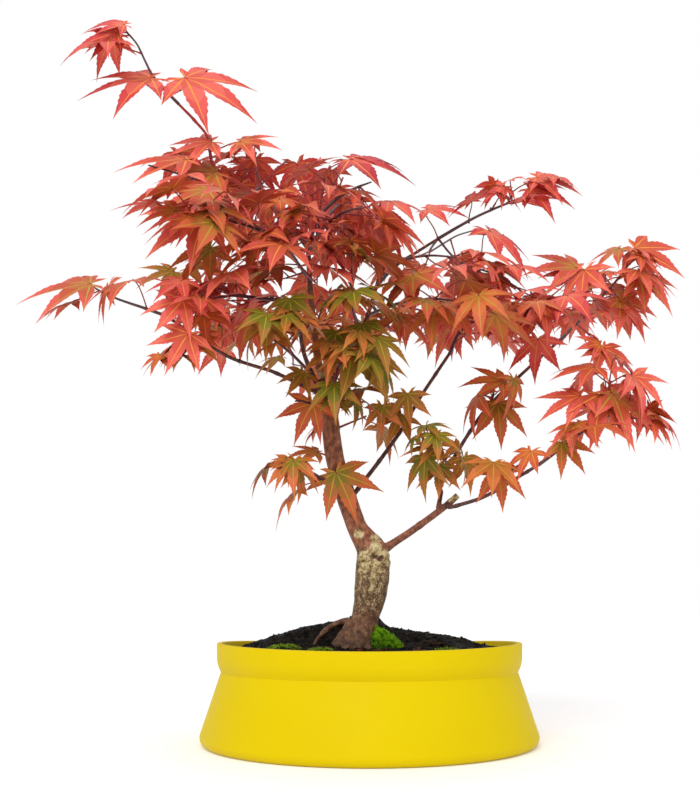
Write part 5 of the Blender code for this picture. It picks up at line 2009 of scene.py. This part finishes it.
    def accent(self, plan: Accent, leader: Limb, parent: Limb) -> Leaf:
        """A leaf that stands out of its mass.

        Args:
            plan: Its plan.
            leader: The mass's leading shoot.
            parent: The limb that carries the mass.

        Returns:
            The leaf, on a stalk from the nearest wood.
        """
        wood = [*leader.points, *parent.points]
        root = min(wood, key=lambda spot: math.dist(self.seen(spot), plan.heart))
        depth = root.y - self.ACCENT_LEAD
        joint = self.placed(plan.heart, depth)
        tip = self.placed(plan.tip, depth - plan.dip)
        heading = (tip - joint).normalized()
        sight = (joint - Vector((0.0, -self.EYE[0], self.EYE[1]))).normalized()
        edge = unit_or(sight.cross(heading), UP)
        edge = edge if edge.z > 0.0 else -edge
        turn = math.radians(plan.face)
        toward = unit_or(-(sight - heading * sight.dot(heading)), (0.0, -1.0, 0.0))
        normal = (math.cos(turn) * edge + math.sin(turn) * toward).normalized()
        size = (tip - joint).length / self.BLADE_SCALE
        return Leaf(leader, root, joint, (joint - root).normalized(), heading,
                    normal.cross(heading), normal, size, self.ACCENT_CURL)

    def in_reach(self, leaf: Leaf, low: Vector, high: Vector) -> bool:
        """Whether a finer leaf keeps to its mass's own box and clear of the wood."""
        tips = [tuple(self.BLADE_SCALE * share for share in self.blade.flat[tip])
                for tip in self.blade.tips]
        spots = [leaf.joint, *(leaf.spot(*tip) for tip in tips)]
        if not all(low[axis] - self.EASE < spot[axis] < high[axis] + self.EASE
                   for spot in spots for axis in range(3)):
            return False
        for spot in spots[1:]:
            run = spot - leaf.joint
            if self.wood.ray_cast(leaf.joint, run.normalized(), run.length)[0] is not None:
                return False
        return self.wood.find_nearest(leaf.joint)[3] > self.CLEAR

    def shoot(self, wood: Batch, points: Line, radii: Sequence[float],
              roots: Line, slot: int) -> None:
        """A twig, swollen at each root on it, with a bud in every other axil.

        Args:
            wood: Gathers it.
            points: Its middle line.
            radii: Its radius at each point.
            roots: Where leaves and side shoots start in its mass.
            slot: Its bark's slot.
        """
        line, widths = drawn(points, radii, self.TWIG_STEP)
        for root in roots:
            near = min(range(len(line)), key=lambda index: (line[index] - root).length)
            if (line[near] - root).length > self.NODE_NEAR:
                continue
            for index, spot in enumerate(line):
                away = (spot - line[near]).length / self.NODE_LENGTH
                widths[index] += self.NODE_RISE * math.exp(-away ** 2)
            if 0 < near < len(line) - 1 and self.rng.random() < self.BUD_SHARE:
                along = (line[near + 1] - line[near - 1]).normalized()
                out = frame_round(along, self.rng.uniform(0.0, 360.0))
                foot = line[near] + out * widths[near] * self.BUD_SEAT
                self.bud(wood, foot, (along + out).normalized())
        widths = [min(width, self.TWIG_STOUTEST) for width in widths]
        wood.tube(line, widths, self.TWIG_SIDES, slot)

    def bud(self, wood: Batch, foot: Vector, along: Vector) -> None:
        """A small pointed bud."""
        length = self.BUD_LENGTH * self.rng.uniform(*self.BUD_SPREAD)
        line = [foot + along * (length * share) for share in self.BUD_MARKS]
        wood.tube(line, self.BUD_RADII, self.BUD_SIDES, self.BUD_SLOT)

    def stalk(self, wood: Batch, leaf: Leaf, slot: int) -> None:
        """A leaf's stalk, curved from its twig to its blade."""
        length = (leaf.joint - leaf.root).length
        aim = (leaf.joint - leaf.root).normalized()
        early, late = self.STALK_BENDS
        inside, under = self.STALK_END
        marks = [leaf.root, leaf.root + (leaf.leaving + aim) * (early * length),
                 leaf.joint - (aim + 0.5 * leaf.heading) * (late * length), leaf.joint,
                 leaf.spot(inside, 0.0) - leaf.normal * under]
        line = smooth_path(marks, self.STALK_STEPS)
        radii = tapered(line, *self.STALK_RADII)
        radii[0] *= self.STALK_FOOT
        wood.tube(line, radii, self.STALK_SIDES, slot)

    def blade_of(self, leaves: Batch, leaf: Leaf, tint: float) -> None:
        """A leaf's blade, with its own droop and shade.

        Args:
            leaves: Where it is gathered.
            leaf: The leaf.
            tint: Where its spray stands along the autumn tints.
        """
        blade, rng = self.blade, self.rng
        droop, sway, twist = (
            np.array([rng.uniform(*limits) for _ in blade.LOBES])[blade.lobe_of]
            for limits in (self.LOBE_DROOP, self.LOBE_SWAY, self.LOBE_TWIST))
        reach = blade.extent
        along = blade.plane[:, 0] - sway * reach ** 2 * np.sin(blade.turn)
        across = blade.plane[:, 1] + sway * reach ** 2 * np.cos(blade.turn)
        rise = (blade.lift + twist * blade.beside - droop * reach ** self.DROOP_POWER
                - leaf.curl * (along ** 2 + across ** 2))
        places = (np.array(leaf.joint) + self.BLADE_SCALE * leaf.size * (
            along[:, None] * np.array(leaf.heading) + across[:, None] * np.array(leaf.side)
            + rise[:, None] * np.array(leaf.normal)))
        body = tint + rng.gauss(0.0, self.LEAF_SPREAD)
        steps = self.GLOW if rng.random() < self.GLOWING else self.FRESH
        slots = [self.shade(body + step) for step in steps]
        slots.append(len(self.shades) + int(body + steps[0] > self.TURNED_VEIN))
        leaves.add(places, blade.faces, [slots[zone] for zone in blade.zones])

    def shade(self, tint: float) -> int:
        """The slot of the shade nearest to a tint."""
        return max(0, min(len(self.shades) - 1, round(SHADES * tint)))


# The studio


@dataclass
class Studio:
    """A pale floor, soft light from all round, and the camera. Lengths are in metres."""

    eye: Triple = (0.0, -0.563, 0.0777)
    lens: float = 45.0
    shift: Pair = (-0.0244, 0.255)
    floor_size: float = 12.0
    pale: Triple = (0.97, 0.97, 0.97)
    floor_glow: float = 0.08
    glow: float = 0.74
    sun: Triple = (-0.2, -1.0, 0.85)
    sun_power: float = 1.2
    sun_angle: float = 35.0
    lamps: tuple[tuple[str, Triple, float, float], ...] = (
        ("key", (-0.7, -0.9, 1.0), 0.8, 3.0),
        ("fill", (0.9, -0.8, 0.5), 0.9, 1.0),
        ("back", (0.1, 1.0, 0.9), 0.9, 1.5))
    aim: Triple = (0.0, 0.0, 0.2)

    def build(self) -> None:
        """Set the stage."""
        self.lay_floor()
        self.set_lamps()
        self.set_sun()
        self.set_world()
        bpy.context.scene.view_settings.view_transform = "Standard"
        self.set_camera()

    def set_world(self) -> None:
        """A white surround that lights the plant a little less than it shows."""
        world = bpy.data.worlds.new("studio")
        bpy.context.scene.world = world
        world.use_nodes = True
        nodes, links = world.node_tree.nodes, world.node_tree.links
        seen = nodes.new("ShaderNodeLightPath")
        strength = nodes.new("ShaderNodeMapRange")
        strength.inputs["To Min"].default_value = self.glow
        links.new(seen.outputs["Is Camera Ray"], strength.inputs["Value"])
        background = nodes["Background"]
        background.inputs["Color"].default_value = (1.0, 1.0, 1.0, 1.0)
        links.new(strength.outputs["Result"], background.inputs["Strength"])

    @staticmethod
    def hang(kind: str, name: str, place: Triple, power: float) -> Piece:
        """Hang a light of a kind at a place, with its power."""
        deselect()
        bpy.ops.object.light_add(type=kind, location=place)
        light = bpy.context.object
        light.name = name
        light.data.energy = power
        return light

    def set_sun(self) -> None:
        """A wide soft light from high in front, even all over the floor."""
        sun = self.hang("SUN", "sun", self.sun, self.sun_power)
        sun.data.angle = math.radians(self.sun_angle)
        sun.rotation_euler = Vector(self.sun).to_track_quat("Z", "Y").to_euler()

    def lay_floor(self) -> None:
        """A plain pale floor under the pot."""
        deselect()
        bpy.ops.mesh.primitive_plane_add(size=self.floor_size)
        floor = settle(bpy.context.object, "studio_floor")
        recipe = Recipe("studio floor", 0.9)
        recipe.give("Base Color", self.pale)
        recipe.give("Emission Color", self.pale)
        recipe.give("Emission Strength", self.floor_glow)
        floor.data.materials.append(recipe.material)

    def set_lamps(self) -> None:
        """Square area lamps that face the plant."""
        for name, place, size, power in self.lamps:
            lamp = self.hang("AREA", name, place, power)
            lamp.data.size = size
            aim = Vector(self.aim) - Vector(place)
            lamp.rotation_euler = aim.to_track_quat("-Z", "Y").to_euler()

    def set_camera(self) -> None:
        """The camera: level, in front of the pot, with its frame shifted up."""
        deselect()
        bpy.ops.object.camera_add(location=self.eye, rotation=(math.radians(90.0), 0.0, 0.0))
        camera = bpy.context.object
        camera.name = "camera"
        camera.data.lens = self.lens
        camera.data.sensor_width = 36.0
        camera.data.shift_x, camera.data.shift_y = self.shift
        camera.data.clip_start = 0.01
        bpy.context.scene.camera = camera


def main() -> None:
    """Build the plant, its pot and the studio, and report each piece."""
    logging.basicConfig(level=logging.INFO, format="%(message)s")
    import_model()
    nodes = {piece.name: piece for piece in bpy.context.scene.objects if piece.type == "MESH"}
    Studio().build()
    Pot().build()
    ground = Ground()
    Soil(ground).build()
    for seed, pad in enumerate(MOSS_PADS):
        pad.build(ground, seed)
    skeleton = Skeleton()
    Bark(skeleton, ground).build()
    Crown(skeleton, nodes).build()
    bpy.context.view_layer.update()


if __name__ == "__main__":
    main()
